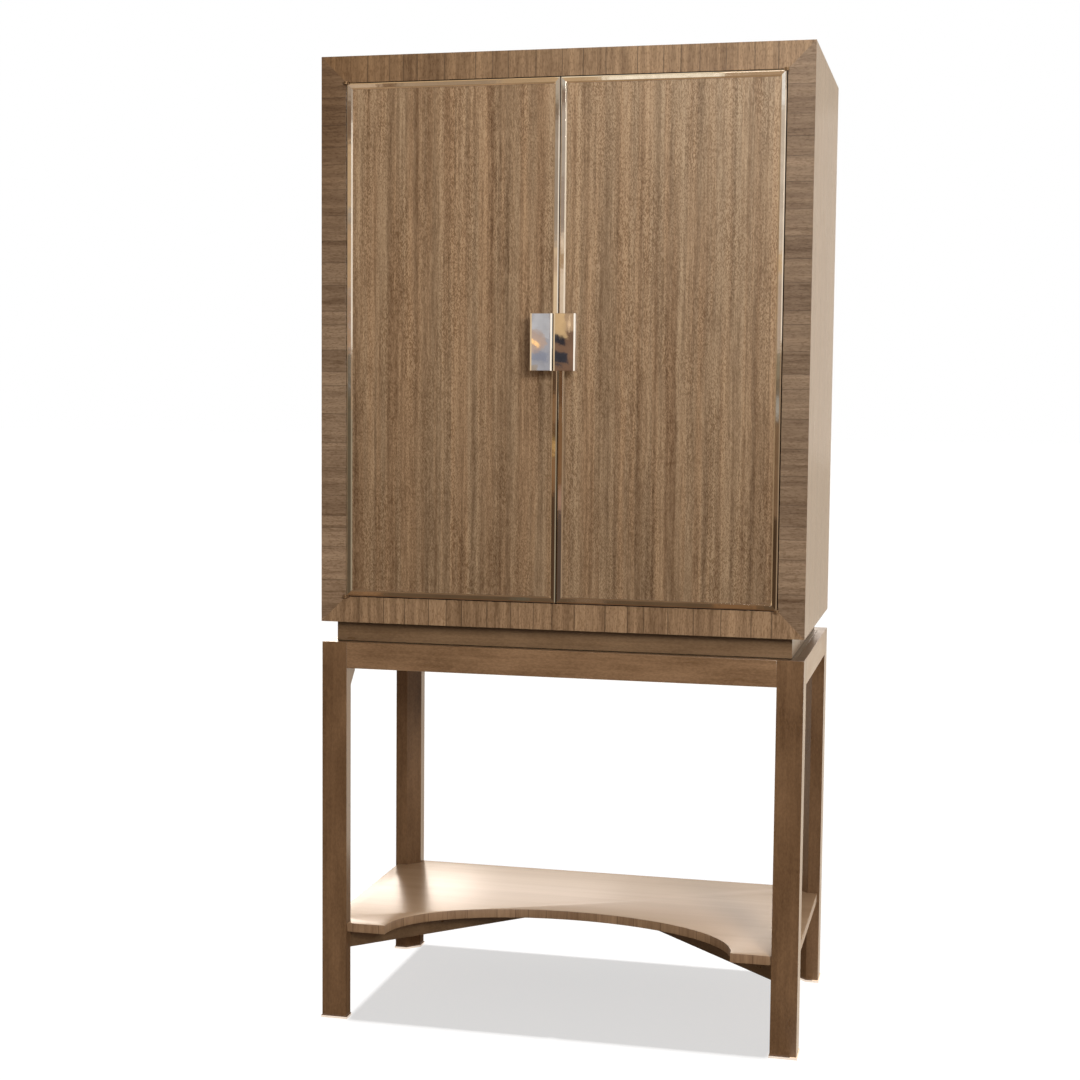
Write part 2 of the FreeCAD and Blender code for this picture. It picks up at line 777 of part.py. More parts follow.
def loper_top():
    return counter_height - counter_thickness - loper_top_gap


def right_loper():
    """Hardwood support that slides out under the leaf."""
    x = loper_middle_x()
    return box(x - loper_width / 2, x + loper_width / 2, at(loper_set_back),
               at(loper_set_back + loper_length), loper_top() - loper_height, loper_top())


def right_loper_knob():
    """Small turned knob on the support's front end."""
    x, z = loper_middle_x(), loper_top() - loper_height / 2
    start = at(loper_set_back - knob_length)
    rim = rod(knob_radius, vec(x, start, z), vec(0, 1, 0), knob_rim)
    neck = Part.makeCone(knob_radius, knob_neck_radius, knob_length - knob_rim,
                         vec(x, start + knob_rim, z), vec(0, 1, 0))
    return one_solid(rim.fuse(neck))


def loper_guides():
    """Two cheeks beside each support, and the slip under them on which it slides."""
    x = loper_middle_x()
    y0, y1 = at(guide_set_back), at(guide_set_back + guide_length)
    inside = loper_width / 2 + loper_side_gap
    outside = inside + cheek_thickness
    top = counter_height - counter_thickness
    bottom = loper_top() - loper_height - loper_top_gap
    guide = [box(x + inside, x + outside, y0, y1, bottom, top),
             box(x - outside, x - inside, y0, y1, bottom, top),
             box(x - outside, x + outside, y0, y1, bottom - runner_thickness, bottom)]
    return guide + [mirrored(slip) for slip in guide]


# ---- Shelves and racks ---------------------------------------------------------------------------
def pin_places_y():
    return [at(upper_shelf_set_back) + pin_set_in, mirror_front - seat_gap - pin_set_in]


def pin_height():
    return glass_shelf_top - glass_thickness - pin_radius


def upper_shelf():
    return box(-opening_half, opening_half, at(upper_shelf_set_back), mirror_front - seat_gap,
               upper_shelf_top - upper_shelf_thickness, upper_shelf_top)


def glass_shelf():
    reach = opening_half - shelf_end_gap
    return box(-reach, reach, at(upper_shelf_set_back), mirror_front - seat_gap,
               glass_shelf_top - glass_thickness, glass_shelf_top)


def shelf_pins():
    pins = [rod(pin_radius, vec(opening_half - pin_out, y, pin_height()), vec(1, 0, 0),
                pin_out + pin_in) for y in pin_places_y()]
    return pair(Part.makeCompound(pins))


def mirror_back():
    return box(-opening_half + mirror_margin, opening_half - mirror_margin, mirror_front,
               back_panel_front, counter_height, opening_top - mirror_margin)


def stem_rail_places():
    reach = stem_rail_pitch * (stem_rail_count - 1) / 2
    return evenly(-reach, reach, stem_rail_count)


def stemware_rails():
    """Webs under the upper shelf with flat strips under them, on which the glasses hang."""
    top = upper_shelf_top - upper_shelf_thickness
    web_foot = top - stem_web_height
    y0, y1 = at(upper_shelf_set_back), mirror_front - seat_gap
    rails = []
    for x in stem_rail_places():
        rails.append(box(x - stem_web_width / 2, x + stem_web_width / 2, y0, y1, web_foot, top))
        rails.append(box(x - stem_strip_width / 2, x + stem_strip_width / 2, y0, y1,
                         web_foot - stem_strip_thickness, web_foot))
    return rails


def bottle_dividers():
    """Upright dividers on the case floor, each with a hand scoop in its upper front corner."""
    pitch = 2 * opening_half / (divider_count + 1)
    dividers = []
    y0 = at(guide_set_back)
    for i in range(divider_count):
        x = -opening_half + pitch * (i + 1) - divider_thickness / 2
        board = box(x, x + divider_thickness, y0, y0 + divider_depth,
                    opening_bottom, opening_bottom + divider_height)
        scoop = rod(divider_scoop, vec(x, y0, opening_bottom + divider_height), vec(1, 0, 0),
                    divider_thickness)
        dividers.append(one_solid(board.cut(scoop)))
    return dividers


# ---- All pieces, by node ---------------------------------------------------------------------------
def four_corners(shape):
    """A front right piece at all four corners of the base."""
    return [mirrored(shape), shape, mirrored(to_back(shape)), to_back(shape)]


def base_nodes():
    front_left, front_right, back_left, back_right = four_corners(front_right_leg())
    front_rail = front_base_rail()
    return {
        "front_left_leg": front_left, "front_right_leg": front_right,
        "back_left_leg": back_left, "back_right_leg": back_right,
        "ferrules": Part.makeCompound(four_corners(ferrule())),
        "base_front_rail": front_rail, "base_back_rail": to_back(front_rail),
        "base_side_rails": pair(right_base_rail()), "base_deck": base_deck(),
        "lower_shelf": lower_shelf(),
        "shelf_front_bearers": pair(right_bearer()), "shelf_back_bearer": back_bearer(),
    }


def case_nodes():
    side = right_side_panel()
    plinth_side = plinth_right()
    return {
        "plinth_boards": Part.makeCompound([plinth_front(), plinth_back(), plinth_side,
                                            mirrored(plinth_side)]),
        "plinth_blocks": plinth_blocks(), "case_bolts": case_bolts(),
        "case_left_side": mirrored(side), "case_right_side": side,
        "case_top": top_panel(), "case_bottom": bottom_panel(), "case_back": back_panel(),
        "frame_stiles": pair(right_stile()),
        "frame_top_rail": top_rail(), "frame_bottom_rail": bottom_rail(),
        "gables": pair(right_gable()),
        "case_floor": case_floor(), "case_ceiling": case_ceiling(),
        "battens": Part.makeCompound(gable_battens() + floor_battens() + ceiling_battens()),
        "door_pivot_plates": Part.makeCompound(fixed_pivots()),
        "door_catches": pair(right_catch()),
    }


def inside_nodes():
    return {
        "counter": counter(),
        "counter_hinge_flaps": pair(leaf_hinge(False)), "leaf_hinge_pins": pair(hinge_pin()),
        "loper_guides": Part.makeCompound(loper_guides()),
        "upper_shelf": upper_shelf(), "stemware_rails": Part.makeCompound(stemware_rails()),
        "glass_shelf": glass_shelf(), "shelf_pins": shelf_pins(),
        "mirror_back": mirror_back(), "bottle_dividers": Part.makeCompound(bottle_dividers()),
    }


def right_hand_nodes():
    """Everything that moves on the right; the left has the same pieces mirrored."""
    return {
        "door_panel": right_door_panel(), "door_trim": Part.makeCompound(door_trims()),
        "door_pivots": Part.makeCompound(door_pivots()), "door_strike": right_strike(),
        "pull": Part.makeCompound([right_pull()] + pull_posts()),
        "pull_screws": Part.makeCompound(pull_screws()),
        "leaf": right_leaf(), "leaf_hinge": leaf_hinge(True),
        "loper": right_loper(), "loper_knob": right_loper_knob(),
    }


nodes = {**base_nodes(), **case_nodes(), **inside_nodes()}
for piece, solid in right_hand_nodes().items():
    nodes["right_" + piece] = solid
    nodes["left_" + piece] = mirrored(solid)

os.makedirs("parts", exist_ok=True)
for node, solid in nodes.items():
    solid.exportStep(os.path.join("parts", node + ".step"))
    print(node, len(solid.Solids), "solid(s)", round(solid.Volume / 1000, 1), "cm3")
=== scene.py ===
# %% [markdown]
# # Dressing a bar cabinet
#
# The cabinet stands on an open base and has two veneered doors edged with polished metal.  Its
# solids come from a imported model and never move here.  This lesson gives them veneer, lacquer,
# metal and glass, eases their edges, and adds the small parts that a cabinet maker fits last.
# Everything is in metres, with +Z up and the doors towards -Y.

# %% Load the frame and keep its box
import json
import math

import bmesh
import bpy
from mathutils import Matrix, Vector

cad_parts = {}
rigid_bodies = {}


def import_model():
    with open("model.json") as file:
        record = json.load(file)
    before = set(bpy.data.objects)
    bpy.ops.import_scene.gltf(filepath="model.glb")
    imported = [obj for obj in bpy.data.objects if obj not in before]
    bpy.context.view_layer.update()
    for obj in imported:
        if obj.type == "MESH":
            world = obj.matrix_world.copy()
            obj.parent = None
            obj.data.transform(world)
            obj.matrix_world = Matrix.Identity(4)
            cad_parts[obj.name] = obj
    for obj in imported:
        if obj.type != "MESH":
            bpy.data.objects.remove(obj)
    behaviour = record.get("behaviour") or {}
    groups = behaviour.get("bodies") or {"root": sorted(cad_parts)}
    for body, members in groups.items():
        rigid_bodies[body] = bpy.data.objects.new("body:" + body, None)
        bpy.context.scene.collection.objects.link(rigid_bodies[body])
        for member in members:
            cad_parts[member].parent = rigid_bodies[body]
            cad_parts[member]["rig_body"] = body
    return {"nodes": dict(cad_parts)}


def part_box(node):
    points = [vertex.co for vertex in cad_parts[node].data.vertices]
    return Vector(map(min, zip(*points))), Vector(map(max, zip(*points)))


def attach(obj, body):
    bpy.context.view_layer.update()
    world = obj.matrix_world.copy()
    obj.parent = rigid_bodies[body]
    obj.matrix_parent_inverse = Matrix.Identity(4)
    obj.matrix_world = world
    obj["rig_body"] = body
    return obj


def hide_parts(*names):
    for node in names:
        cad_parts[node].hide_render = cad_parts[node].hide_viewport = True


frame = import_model()
nodes = frame["nodes"]
body_of = {node: solid["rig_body"] for node, solid in nodes.items()}
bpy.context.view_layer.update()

# %% [markdown]
# ## Planes that later cells use
#
# The planes of the cabinet are read from its own solids, so the pieces made here follow when a
# size changes in the model.

# %% Planes of the cabinet
frame_low, frame_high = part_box("frame_stiles")
door_low, door_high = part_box("right_door_panel")
case_front = frame_low.y
print("case front at", round(case_front, 4), "and top at", round(frame_high.z, 4))

# %% [markdown]
# ## Camera
#
# The cabinet is seen from the front right, from a little above its middle.  A camera looks along
# its own -Z axis, so its matrix is made of three directions: right, up and back.  The slight roll
# is turned in last.

# %% Camera
LENS = 61.12                    # mm, on a sensor 36 mm wide
CAMERA_RIGHT = 0.874            # to the right of the cabinet's middle
CAMERA_AHEAD = 3.827            # in front of the case
CAMERA_HEIGHT = 1.4006
CAMERA_YAW = 0.2335             # radians, turned to the left
CAMERA_PITCH = 0.0773           # radians, looking down
CAMERA_ROLL = 0.0093


def aimed(place, yaw, pitch, roll=0.0):
    """Matrix of a camera or lamp at a place.  With no yaw and no pitch it looks along +Y."""
    level = math.cos(pitch)
    ahead = Vector((-math.sin(yaw) * level, math.cos(yaw) * level, -math.sin(pitch)))
    right = Vector((math.cos(yaw), math.sin(yaw), 0))
    turn = Matrix((right, right.cross(ahead), -ahead)).transposed()
    turn = turn @ Matrix.Rotation(roll, 3, "Z")
    return Matrix.Translation(place) @ turn.to_4x4()


def into_scene(name, data):
    """Makes an object from a camera, lamp or mesh and puts it in the scene."""
    made = bpy.data.objects.new(name, data)
    bpy.context.scene.collection.objects.link(made)
    return made


camera = into_scene("camera", bpy.data.cameras.new("camera"))
camera.data.lens = LENS
camera_place = Vector((CAMERA_RIGHT, case_front - CAMERA_AHEAD, CAMERA_HEIGHT))
camera.matrix_world = aimed(camera_place, CAMERA_YAW, CAMERA_PITCH, CAMERA_ROLL)
bpy.context.scene.camera = camera
bpy.context.scene.view_settings.view_transform = "Standard"
print("camera at", [round(value, 3) for value in camera_place])

# %% [markdown]
# ## Writing node trees
#
# Every finish below is a small tree of shader nodes, and the screws are set by a tree of geometry
# nodes.  This helper makes a node, sets its values and joins its inputs in one line, and hands back
# the output that the next node needs.


# %% A helper for node trees
class Tree:
    """The nodes of a material, a world or a geometry group, written line by line."""

    def __init__(self, owner):
        self.tree = owner
        if not isinstance(owner, bpy.types.NodeTree):
            owner.use_nodes = True
            self.tree = owner.node_tree
        self.tree.nodes.clear()

    def add(self, kind, inputs=None, output=0, **settings):
        """Makes a node.  An input is a number, a colour or the output of another node."""
        node = self.tree.nodes.new(kind)
        for name, value in settings.items():
            setattr(node, name, value)
        for name, value in (inputs or {}).items():
            if isinstance(value, bpy.types.NodeSocket):
                self.tree.links.new(value, node.inputs[name])
            else:
                node.inputs[name].default_value = value
        return node.outputs[output] if node.outputs else node

    def math(self, operation, first, second=0.0):
        return self.add("ShaderNodeMath", {0: first, 1: second}, operation=operation)

    def plus(self, first, second):
        return self.math("ADD", first, second)

    def minus(self, first, second):
        return self.math("SUBTRACT", first, second)

    def times(self, first, second):
        return self.math("MULTIPLY", first, second)

    def stretch(self, value, low, high, to_low=0.0, to_high=1.0):
        """Maps low..high to to_low..to_high and stops at the ends."""
        ends = {"Value": value, "From Min": low, "From Max": high,
                "To Min": to_low, "To Max": to_high}
        return self.add("ShaderNodeMapRange", ends)

    def blend(self, factor, first, second, how="MIX"):
        """Mixes two colours."""
        colours = {0: factor, 6: first, 7: second}
        return self.add("ShaderNodeMix", colours, output=2, data_type="RGBA", blend_type=how)

    def tinted(self, factor, colour, tint):
        """Multiplies a colour by a tint where the factor is 1, and leaves it where that is 0."""
        return self.blend(factor, colour, (*tint, 1), how="MULTIPLY")

    def place(self):
        """Object coordinates, which are metres from the cabinet's own origin."""
        return self.add("ShaderNodeTexCoord", output="Object")

    def axes(self, vector=None):
        """The "X", "Y" and "Z" of a vector, or of the place."""
        vector = self.place() if vector is None else vector
        return self.add("ShaderNodeSeparateXYZ", {0: vector}).node.outputs

    def scaled(self, vector, sizes):
        return self.add("ShaderNodeVectorMath", {0: vector, 1: sizes}, operation="MULTIPLY")

    def moved(self, vector, way):
        return self.add("ShaderNodeVectorMath", {0: vector, 1: way}, operation="ADD")

    def noise(self, vector, detail=2.0, roughness=0.55):
        """Noise one unit wide, so its size is set by scaling the coordinates."""
        values = {"Vector": vector, "Scale": 1.0, "Detail": detail, "Roughness": roughness}
        return self.add("ShaderNodeTexNoise", values)


def new_material(name):
    """An empty material and its tree."""
    made = bpy.data.materials.new(name)
    return made, Tree(made)


def rgb(red, green, blue):
    """A colour as a painter names it, 0 to 255, in the linear values that light uses."""
    parts = [value / 255 for value in (red, green, blue)]
    return (*[part / 12.92 if part <= 0.04045 else ((part + 0.055) / 1.055) ** 2.4
              for part in parts], 1.0)


print("mid grey is", [round(value, 3) for value in rgb(128, 128, 128)])

# %% [markdown]
# ## Studio
#
# The cabinet is shown on plain white.  The world and the floor turn white for the rays that come
# from the camera, from metal and from glass, while the light that they throw on the cabinet stays
# at a plain level.


# %% World
def seen_directly(t):
    """1 for rays from the camera, from glossy surfaces and through glass, 0 for the rest."""
    rays = t.add("ShaderNodeLightPath").node.outputs
    seen = t.math("MAXIMUM", rays["Is Camera Ray"], rays["Is Glossy Ray"])
    return t.math("MAXIMUM", seen, rays["Is Transmission Ray"])


WORLD_LIGHT = 0.21              # of the light at which a colour renders as it is written
WORLD_TINT = (1.0, 0.90, 0.80, 1)
WHITE = (1, 1, 1, 1)

world = bpy.data.worlds.new("studio")
bpy.context.scene.world = world
t = Tree(world)
seen = seen_directly(t)
sky = {"Color": t.blend(seen, WORLD_TINT, WHITE), "Strength": t.stretch(seen, 0, 1, WORLD_LIGHT, 1)}
t.add("ShaderNodeOutputWorld", {"Surface": t.add("ShaderNodeBackground", sky)})
print("world gives", WORLD_LIGHT, "of the light")

# %% [markdown]
# The floor is pale and matt.  Its extra brightness for the camera lifts the lit part to white and
# leaves the shadow under the cabinet a light grey.  The light that it throws up at the base is
# warm, as from a wooden floor.

# %% Floor
FLOOR_REACH = 60.0
FLOOR_GREY = (0.40, 0.40, 0.40, 1)
FLOOR_BOUNCE = (0.42, 0.35, 0.28, 1)
FLOOR_LIFT = 0.63


def oblong(left, right, low, high):
    """Corners of an upright or level rectangle, as pairs."""
    return [(left, low), (right, low), (right, high), (left, high)]


def flat_sheet(name, corners, paint):
    mesh = bpy.data.meshes.new(name)
    mesh.from_pydata(corners, [], [range(len(corners))])
    mesh.materials.append(paint)
    return into_scene(name, mesh)


floor_paint, t = new_material("white_floor")
seen = seen_directly(t)
paint = t.add("ShaderNodeBsdfDiffuse", {"Color": t.blend(seen, FLOOR_BOUNCE, FLOOR_GREY)})
lift = t.add("ShaderNodeEmission", {"Color": WHITE, "Strength": t.times(seen, FLOOR_LIFT)})
t.add("ShaderNodeOutputMaterial", {"Surface": t.add("ShaderNodeAddShader", {0: paint, 1: lift})})

floor_corners = oblong(-FLOOR_REACH, FLOOR_REACH, -FLOOR_REACH, FLOOR_REACH)
floor = flat_sheet("floor", [(x, y, 0) for x, y in floor_corners], floor_paint)
print("floor", 2 * FLOOR_REACH, "m wide")

# %% [markdown]
# Two soft boxes light the cabinet.  The main one stands far off to the right, a little above eye
# level, and throws the soft shadow of the pulls on the doors.  The other hangs close above, so its
# light fades towards the floor.  Light linking keeps both off the floor, where a sun straight
# overhead draws the plain shadow under the cabinet instead.  Only the floor of the case and the
# doors stop that sun, so the shadow is one clean shape.

# %% Lamps
LAMP_TINT = (1.0, 0.97, 0.93)
SUN_SHARE = 0.9                 # of the light that falls on the floor
SUN_WIDTH = 1.0                 # degrees; it softens the rim of the shadow
SUN_BLOCKERS = "case_floor left_door_panel right_door_panel".split()


def listed(name, things, state="INCLUDE"):
    """A collection of the things that a lamp minds, or with EXCLUDE of those it leaves out."""
    group = bpy.data.collections.new(name)
    for thing in things:
        group.objects.link(thing)
    for entry in group.collection_objects:
        entry.light_linking.link_state = state
    return group


def soft_box(name, share, target, turn, rise, distance, size):
    """A square lamp that gives a share of the light at a target on the front of the case.

    turn is degrees to the right of straight ahead, rise is degrees up."""
    turn, rise = math.radians(turn), math.radians(rise)
    level = math.cos(rise)
    way = Vector((math.sin(turn) * level, -math.cos(turn) * level, math.sin(rise)))
    lamp = into_scene(name, bpy.data.lights.new(name, "AREA"))
    lamp.data.size = size
    lamp.data.energy = share * (math.pi * distance) ** 2 / -way.y
    lamp.data.color = LAMP_TINT
    lamp.matrix_world = aimed(Vector(target) + way * distance, turn, rise)
    lamp.light_linking.receiver_collection = listed("not_lit_by_" + name, [floor], "EXCLUDE")


soft_box("main_lamp", 0.51, (0, case_front, 1.55), turn=31, rise=12, distance=5.5, size=1.2)
soft_box("high_lamp", 0.24, (0.3, case_front, 1.70), turn=15, rise=60, distance=1.6, size=0.8)

sun = into_scene("overhead_sun", bpy.data.lights.new("overhead_sun", "SUN"))
sun.data.energy = SUN_SHARE * math.pi
sun.data.angle = math.radians(SUN_WIDTH)
sun.light_linking.receiver_collection = listed("lit_by_sun", [floor])
blockers = [nodes[node] for node in SUN_BLOCKERS]
sun.light_linking.blocker_collection = listed("shadow_on_floor", blockers)
print("lamps:", len(bpy.data.lights))

# %% [markdown]
# Polished metal shows nothing but its surroundings.  A plain white studio would turn it white all
# over, so a wall of coloured cards stands in front of the cabinet: dark below, golden and grey
# above, like a furnished room.  Only glossy surfaces see the cards; they throw no light or shadow.

# %% Cards that metal reflects
X, Y, Z = range(3)              # the axis that a card stands square to
CLOUDS = 14                     # soft clouds in a metre of card
DIM, BRIGHT = 0.84, 1.14        # how far they change its strength


def card(name, axis, place, outline, colour, strength=1.0):
    """A flat sheet that glossy rays see and nothing else does.

    place is where it stands on its axis; the outline gives the other two coordinates."""
    name = "card_" + name
    paper, t = new_material(name)
    cloud = t.noise(t.scaled(t.place(), (CLOUDS,) * 3), detail=3)
    power = t.stretch(cloud, 0.3, 0.7, strength * DIM, strength * BRIGHT)
    glow = t.add("ShaderNodeEmission", {"Color": colour, "Strength": power})
    t.add("ShaderNodeOutputMaterial", {"Surface": glow})
    corners = [(*spot[:axis], place, *spot[axis:]) for spot in outline]
    sheet = flat_sheet(name, corners, paper)
    for ray in ("camera", "diffuse", "transmission", "shadow", "volume_scatter"):
        setattr(sheet, "visible_" + ray, False)


WALL = case_front - 4.33        # the plane on which the front cards stand
WALL_CARDS = {                  # how far in front of the wall, outline (x, z), colour, strength
    "dark_room": (0.00, oblong(-9, 9, 0.02, 1.60), rgb(102, 84, 66), 1),
    "lit_room": (0.00, oblong(-9, 9, 1.60, 2.12), rgb(190, 162, 132), 1),
    "upper_room": (0.00, oblong(-9, 9, 2.12, 6.00), rgb(150, 132, 112), 1),
    "ceiling_light": (0.02, oblong(-0.30, 2.8, 2.95, 4.40), rgb(255, 250, 240), 3),
    "side_window": (0.03, oblong(3.0, 5.9, 1.30, 2.10), rgb(255, 250, 242), 1.25),
    "grey_window": (0.05, oblong(-1.098, -0.985, 1.42, 1.90), rgb(172, 174, 184), 1),
    "pale_pane": (0.06, [(-1.08, 1.705), (-0.99, 1.655), (-0.99, 1.785), (-1.06, 1.785)],
                  rgb(198, 200, 208), 1),
    "beige_foot": (0.06, oblong(-1.098, -1.045, 1.49, 1.545), rgb(168, 156, 144), 1),
    "blue_foot": (0.06, [(-1.085, 1.575), (-1.0, 1.555), (-1.0, 1.60), (-1.06, 1.62)],
                  rgb(150, 156, 174), 1),
    "top_spark": (0.08, [(-1.093, 1.757), (-1.066, 1.765), (-1.066, 1.770), (-1.093, 1.763)],
                  rgb(255, 234, 205), 1.2),
    "pink_glow": (0.06, [(-1.098, 1.62), (-1.06, 1.59), (-1.00, 1.64), (-1.03, 1.70),
                         (-1.098, 1.71)], rgb(190, 170, 160), 1),
    "orange_glow": (0.08, [(-1.098, 1.655), (-1.05, 1.635), (-1.035, 1.625), (-1.03, 1.64),
                           (-1.085, 1.672)], rgb(255, 206, 146), 1.3),
    "brown_chest": (0.04, oblong(-0.985, -0.88, 1.40, 1.70), rgb(130, 102, 84), 1),
    "gold_lamp": (0.05, [(-0.985, 1.69), (-0.97, 1.678), (-0.94, 1.668), (-0.905, 1.664),
                         (-0.92, 1.70), (-0.925, 1.95), (-0.985, 1.95)], rgb(216, 184, 140), 1),
    "side_spark": (0.08, [(-0.899, 1.70), (-0.895, 1.69), (-0.893, 1.77), (-0.897, 1.77)],
                   rgb(255, 222, 184), 1.2),
    "slate_bar": (0.06, [(-0.985, 1.690), (-0.985, 1.652), (-0.920, 1.630), (-0.920, 1.668)],
                  rgb(52, 52, 60), 1),
    "slate_foot": (0.06, [(-0.980, 1.560), (-0.905, 1.552), (-0.905, 1.596), (-0.980, 1.612)],
                   rgb(60, 60, 68), 1),
    "third_bar": (0.07, [(-0.975, 1.553), (-0.975, 1.547), (-0.93, 1.538), (-0.93, 1.546)],
                  rgb(74, 72, 78), 1),
}
for name, (ahead, outline, colour, strength) in WALL_CARDS.items():
    card(name, Y, WALL + ahead, outline, colour, strength)
print(len(WALL_CARDS), "cards on the wall")

# %% [markdown]
# Each strip of the door edging is a mirror a few millimetres wide, so it shows one narrow column of
# the wall, or one low row for the strips on top.  These columns and rows are listed by what is
# seen in the metal, and the colour of the metal itself is divided out.

# %% Columns and rows seen in the edging
EDGING_TINT = rgb(226, 214, 198)
COLUMNS_AHEAD, ROW_AHEAD = 0.04, 0.05
COLUMNS = {                     # left and right, then top of each patch and its colour, to a foot
    "hinge_left": (-1.17, -1.10, [
        (2.90, (150, 130, 110)), (2.72, (110, 86, 66)), (2.54, (186, 154, 116)),
        (2.24, (150, 135, 118)), (2.17, (176, 142, 106)), (1.87, (150, 120, 94)),
        (1.60, (104, 92, 76)), (1.40, (90, 79, 62)), (0.87, (86, 74, 58)), (0.40, None)]),
    "meeting_left": (-2.02, -1.80, [
        (2.90, (170, 155, 135)), (2.77, (120, 100, 80)), (2.69, (150, 134, 116)),
        (2.12, (206, 178, 142)), (1.60, (80, 58, 40)), (1.42, (128, 94, 64)),
        (1.27, (84, 60, 40)), (1.205, (186, 148, 92)), (1.155, (124, 90, 60)),
        (0.955, (72, 52, 36)), (0.40, None)]),
    "meeting_right": (-0.25, -0.05, [
        (2.90, (170, 160, 145)), (2.77, (115, 90, 70)), (2.69, (165, 150, 134)),
        (2.37, (150, 132, 116)), (2.12, (206, 182, 156)), (1.60, (96, 66, 42)),
        (1.37, (120, 86, 56)), (1.0, (150, 116, 94)), (0.905, (82, 66, 55)), (0.40, None)]),
    "hinge_right": (-0.88, -0.76, [
        (2.90, (226, 216, 202)), (2.70, (194, 176, 156)), (2.04, (172, 152, 132)),
        (1.62, (130, 115, 92)), (1.49, (110, 94, 74)), (1.42, (160, 150, 136)),
        (1.32, (112, 86, 62)), (0.87, (66, 48, 32)), (0.40, None)]),
}
ROW_LOW, ROW_HIGH = 1.97, 2.05
ROW = [                         # left side of each patch and its colour, to the right end
    (-2.10, (178, 150, 122)), (-1.80, (112, 84, 60)), (-1.73, (152, 128, 102)),
    (-1.25, (172, 142, 106)), (-1.00, (178, 146, 108)), (-0.77, (240, 222, 194)),
    (-0.236, (160, 130, 98)), (0.12, None)]


def seen_as(tone):
    """The colour of a card that shows this tone in the metal."""
    return (*[part / own for part, own in zip(rgb(*tone)[:3], EDGING_TINT)], 1)


for name, (left, right, patches) in COLUMNS.items():
    for number, ((high, tone), (low, _)) in enumerate(zip(patches, patches[1:])):
        outline = oblong(left, right, low, high)
        card(f"{name}_{number}", Y, WALL + COLUMNS_AHEAD, outline, seen_as(tone))
for number, ((left, tone), (right, _)) in enumerate(zip(ROW, ROW[1:])):
    outline = oblong(left, right, ROW_LOW, ROW_HIGH)
    card(f"row_{number}", Y, WALL + ROW_AHEAD, outline, seen_as(tone))
print(len(COLUMNS), "columns and a row of", len(ROW) - 1)

# %% [markdown]
# The bevels look to the side, where a daylight window stands on the right, and up and down.  Wood
# under lacquer and the metal at the foot pick up a little of these cards too.

# %% Cards beside, below and above
DAYLIGHT, PALE_FLOOR = rgb(255, 240, 226), rgb(255, 236, 212)
OVER = oblong(-9, 9, WALL, case_front - 0.35)
ROOM_CARDS = {                  # axis, place on it, outline, colour and, if not 1, strength
    "above_left": (Z, 4.5, oblong(-2.5, -0.56, -0.65, 0.5), rgb(214, 186, 150)),
    "above_middle": (Z, 4.5, oblong(-0.56, -0.02, -0.65, 0.5), rgb(255, 244, 222)),
    "above_right": (Z, 4.5, oblong(-0.02, 1.2, -0.65, 0.5), rgb(222, 204, 178)),
    "right_low": (X, 6, oblong(-2.45, 0.5, 0.02, 1.68), rgb(166, 146, 124)),
    "right_foot": (X, 6, oblong(WALL, -2.45, 0.02, 1.30), rgb(164, 156, 140)),
    "right_corner": (X, 6, oblong(WALL, -2.45, 1.30, 1.69), rgb(174, 154, 132)),
    "right_window": (X, 6, oblong(-2.45, 0.5, 1.68, 3.00), rgb(255, 248, 238)),
    "right_front": (X, 6, oblong(WALL, -2.45, 1.69, 3.00), rgb(255, 250, 244)),
    "right_high": (X, 6, oblong(WALL, 0.5, 3.00, 5.00), rgb(186, 176, 166)),
    "carpet": (Z, 0.02, OVER, rgb(100, 74, 52)),
    "rug": (Z, 0.03, oblong(-9, 9, -1.1, -0.5), rgb(172, 146, 118)),
    # under is a dark sheet on the floor beneath the cabinet, seen only in reflections: a painted
    # reflection of the shade there.
    "under": (Z, 0.008, oblong(-1.2, 0.52, -0.6, 0.5), rgb(112, 86, 64)),
    "floor_behind": (Z, 0.008, oblong(-4, 9, 0.5, 7), PALE_FLOOR, 1.5),
    "floor_beside": (Z, 0.008, oblong(0.52, 9, -0.28, 0.5), PALE_FLOOR, 1.5),
    "ceiling": (Z, 4.6, OVER, rgb(128, 106, 86)),
    "left_wall": (X, -6, oblong(-3.5, 5, 0.02, 3.6), rgb(232, 208, 174)),
    "back_wall": (Y, 7, oblong(7, -7, 0.02, 6), PALE_FLOOR, 1.15),
    "window_left": (Y, 5, oblong(-4.0, -1.75, 1.1, 2.8), DAYLIGHT, 6.4),
    "window_middle": (Y, 5, oblong(-1.75, -0.8, 1.1, 2.8), DAYLIGHT, 3.3),
    "window_right": (Y, 5, oblong(-0.8, 0.9, 1.1, 2.8), DAYLIGHT, 2.3),
}
for name, about in ROOM_CARDS.items():
    card(name, *about)

# %% [markdown]
# ## Wood
#
# Veneer is wood sliced thinner than a millimetre.  Its look has layers: broad bands of tone, long
# streaks, fine lines, and short dark pores.  Each layer here is noise that is drawn out along the
# grain, and each is scaled to its own width in metres.  Satin lacquer lies over all of it.

# %% Grain coordinates
GRAIN_DRIFT = 0.012             # metres by which the grain wanders to the side


def along_grain(t, grain, shift=0.0):
    """Object coordinates with the grain turned to Z, waving slightly as real grain does."""
    axes = t.axes()
    order = {"x": "YZX", "y": "ZXY", "z": "XYZ"}[grain]
    turned = {index: axes[letter] for index, letter in enumerate(order)}
    turned = t.add("ShaderNodeCombineXYZ", turned)
    turned = t.moved(turned, (shift, shift * 0.7, shift * 1.3))
    wave = t.noise(t.scaled(turned, (3, 3, 2.2)), detail=1)
    wave = t.times(t.minus(wave, 0.5), GRAIN_DRIFT)
    return t.moved(turned, t.add("ShaderNodeCombineXYZ", {0: wave, 1: wave}))


def streaks(t, grain, width, length, detail=2.0):
    """Noise in streaks of about this width and length, in metres."""
    return t.noise(t.scaled(grain, (1 / width, 1 / width, 1 / length)), detail=detail)


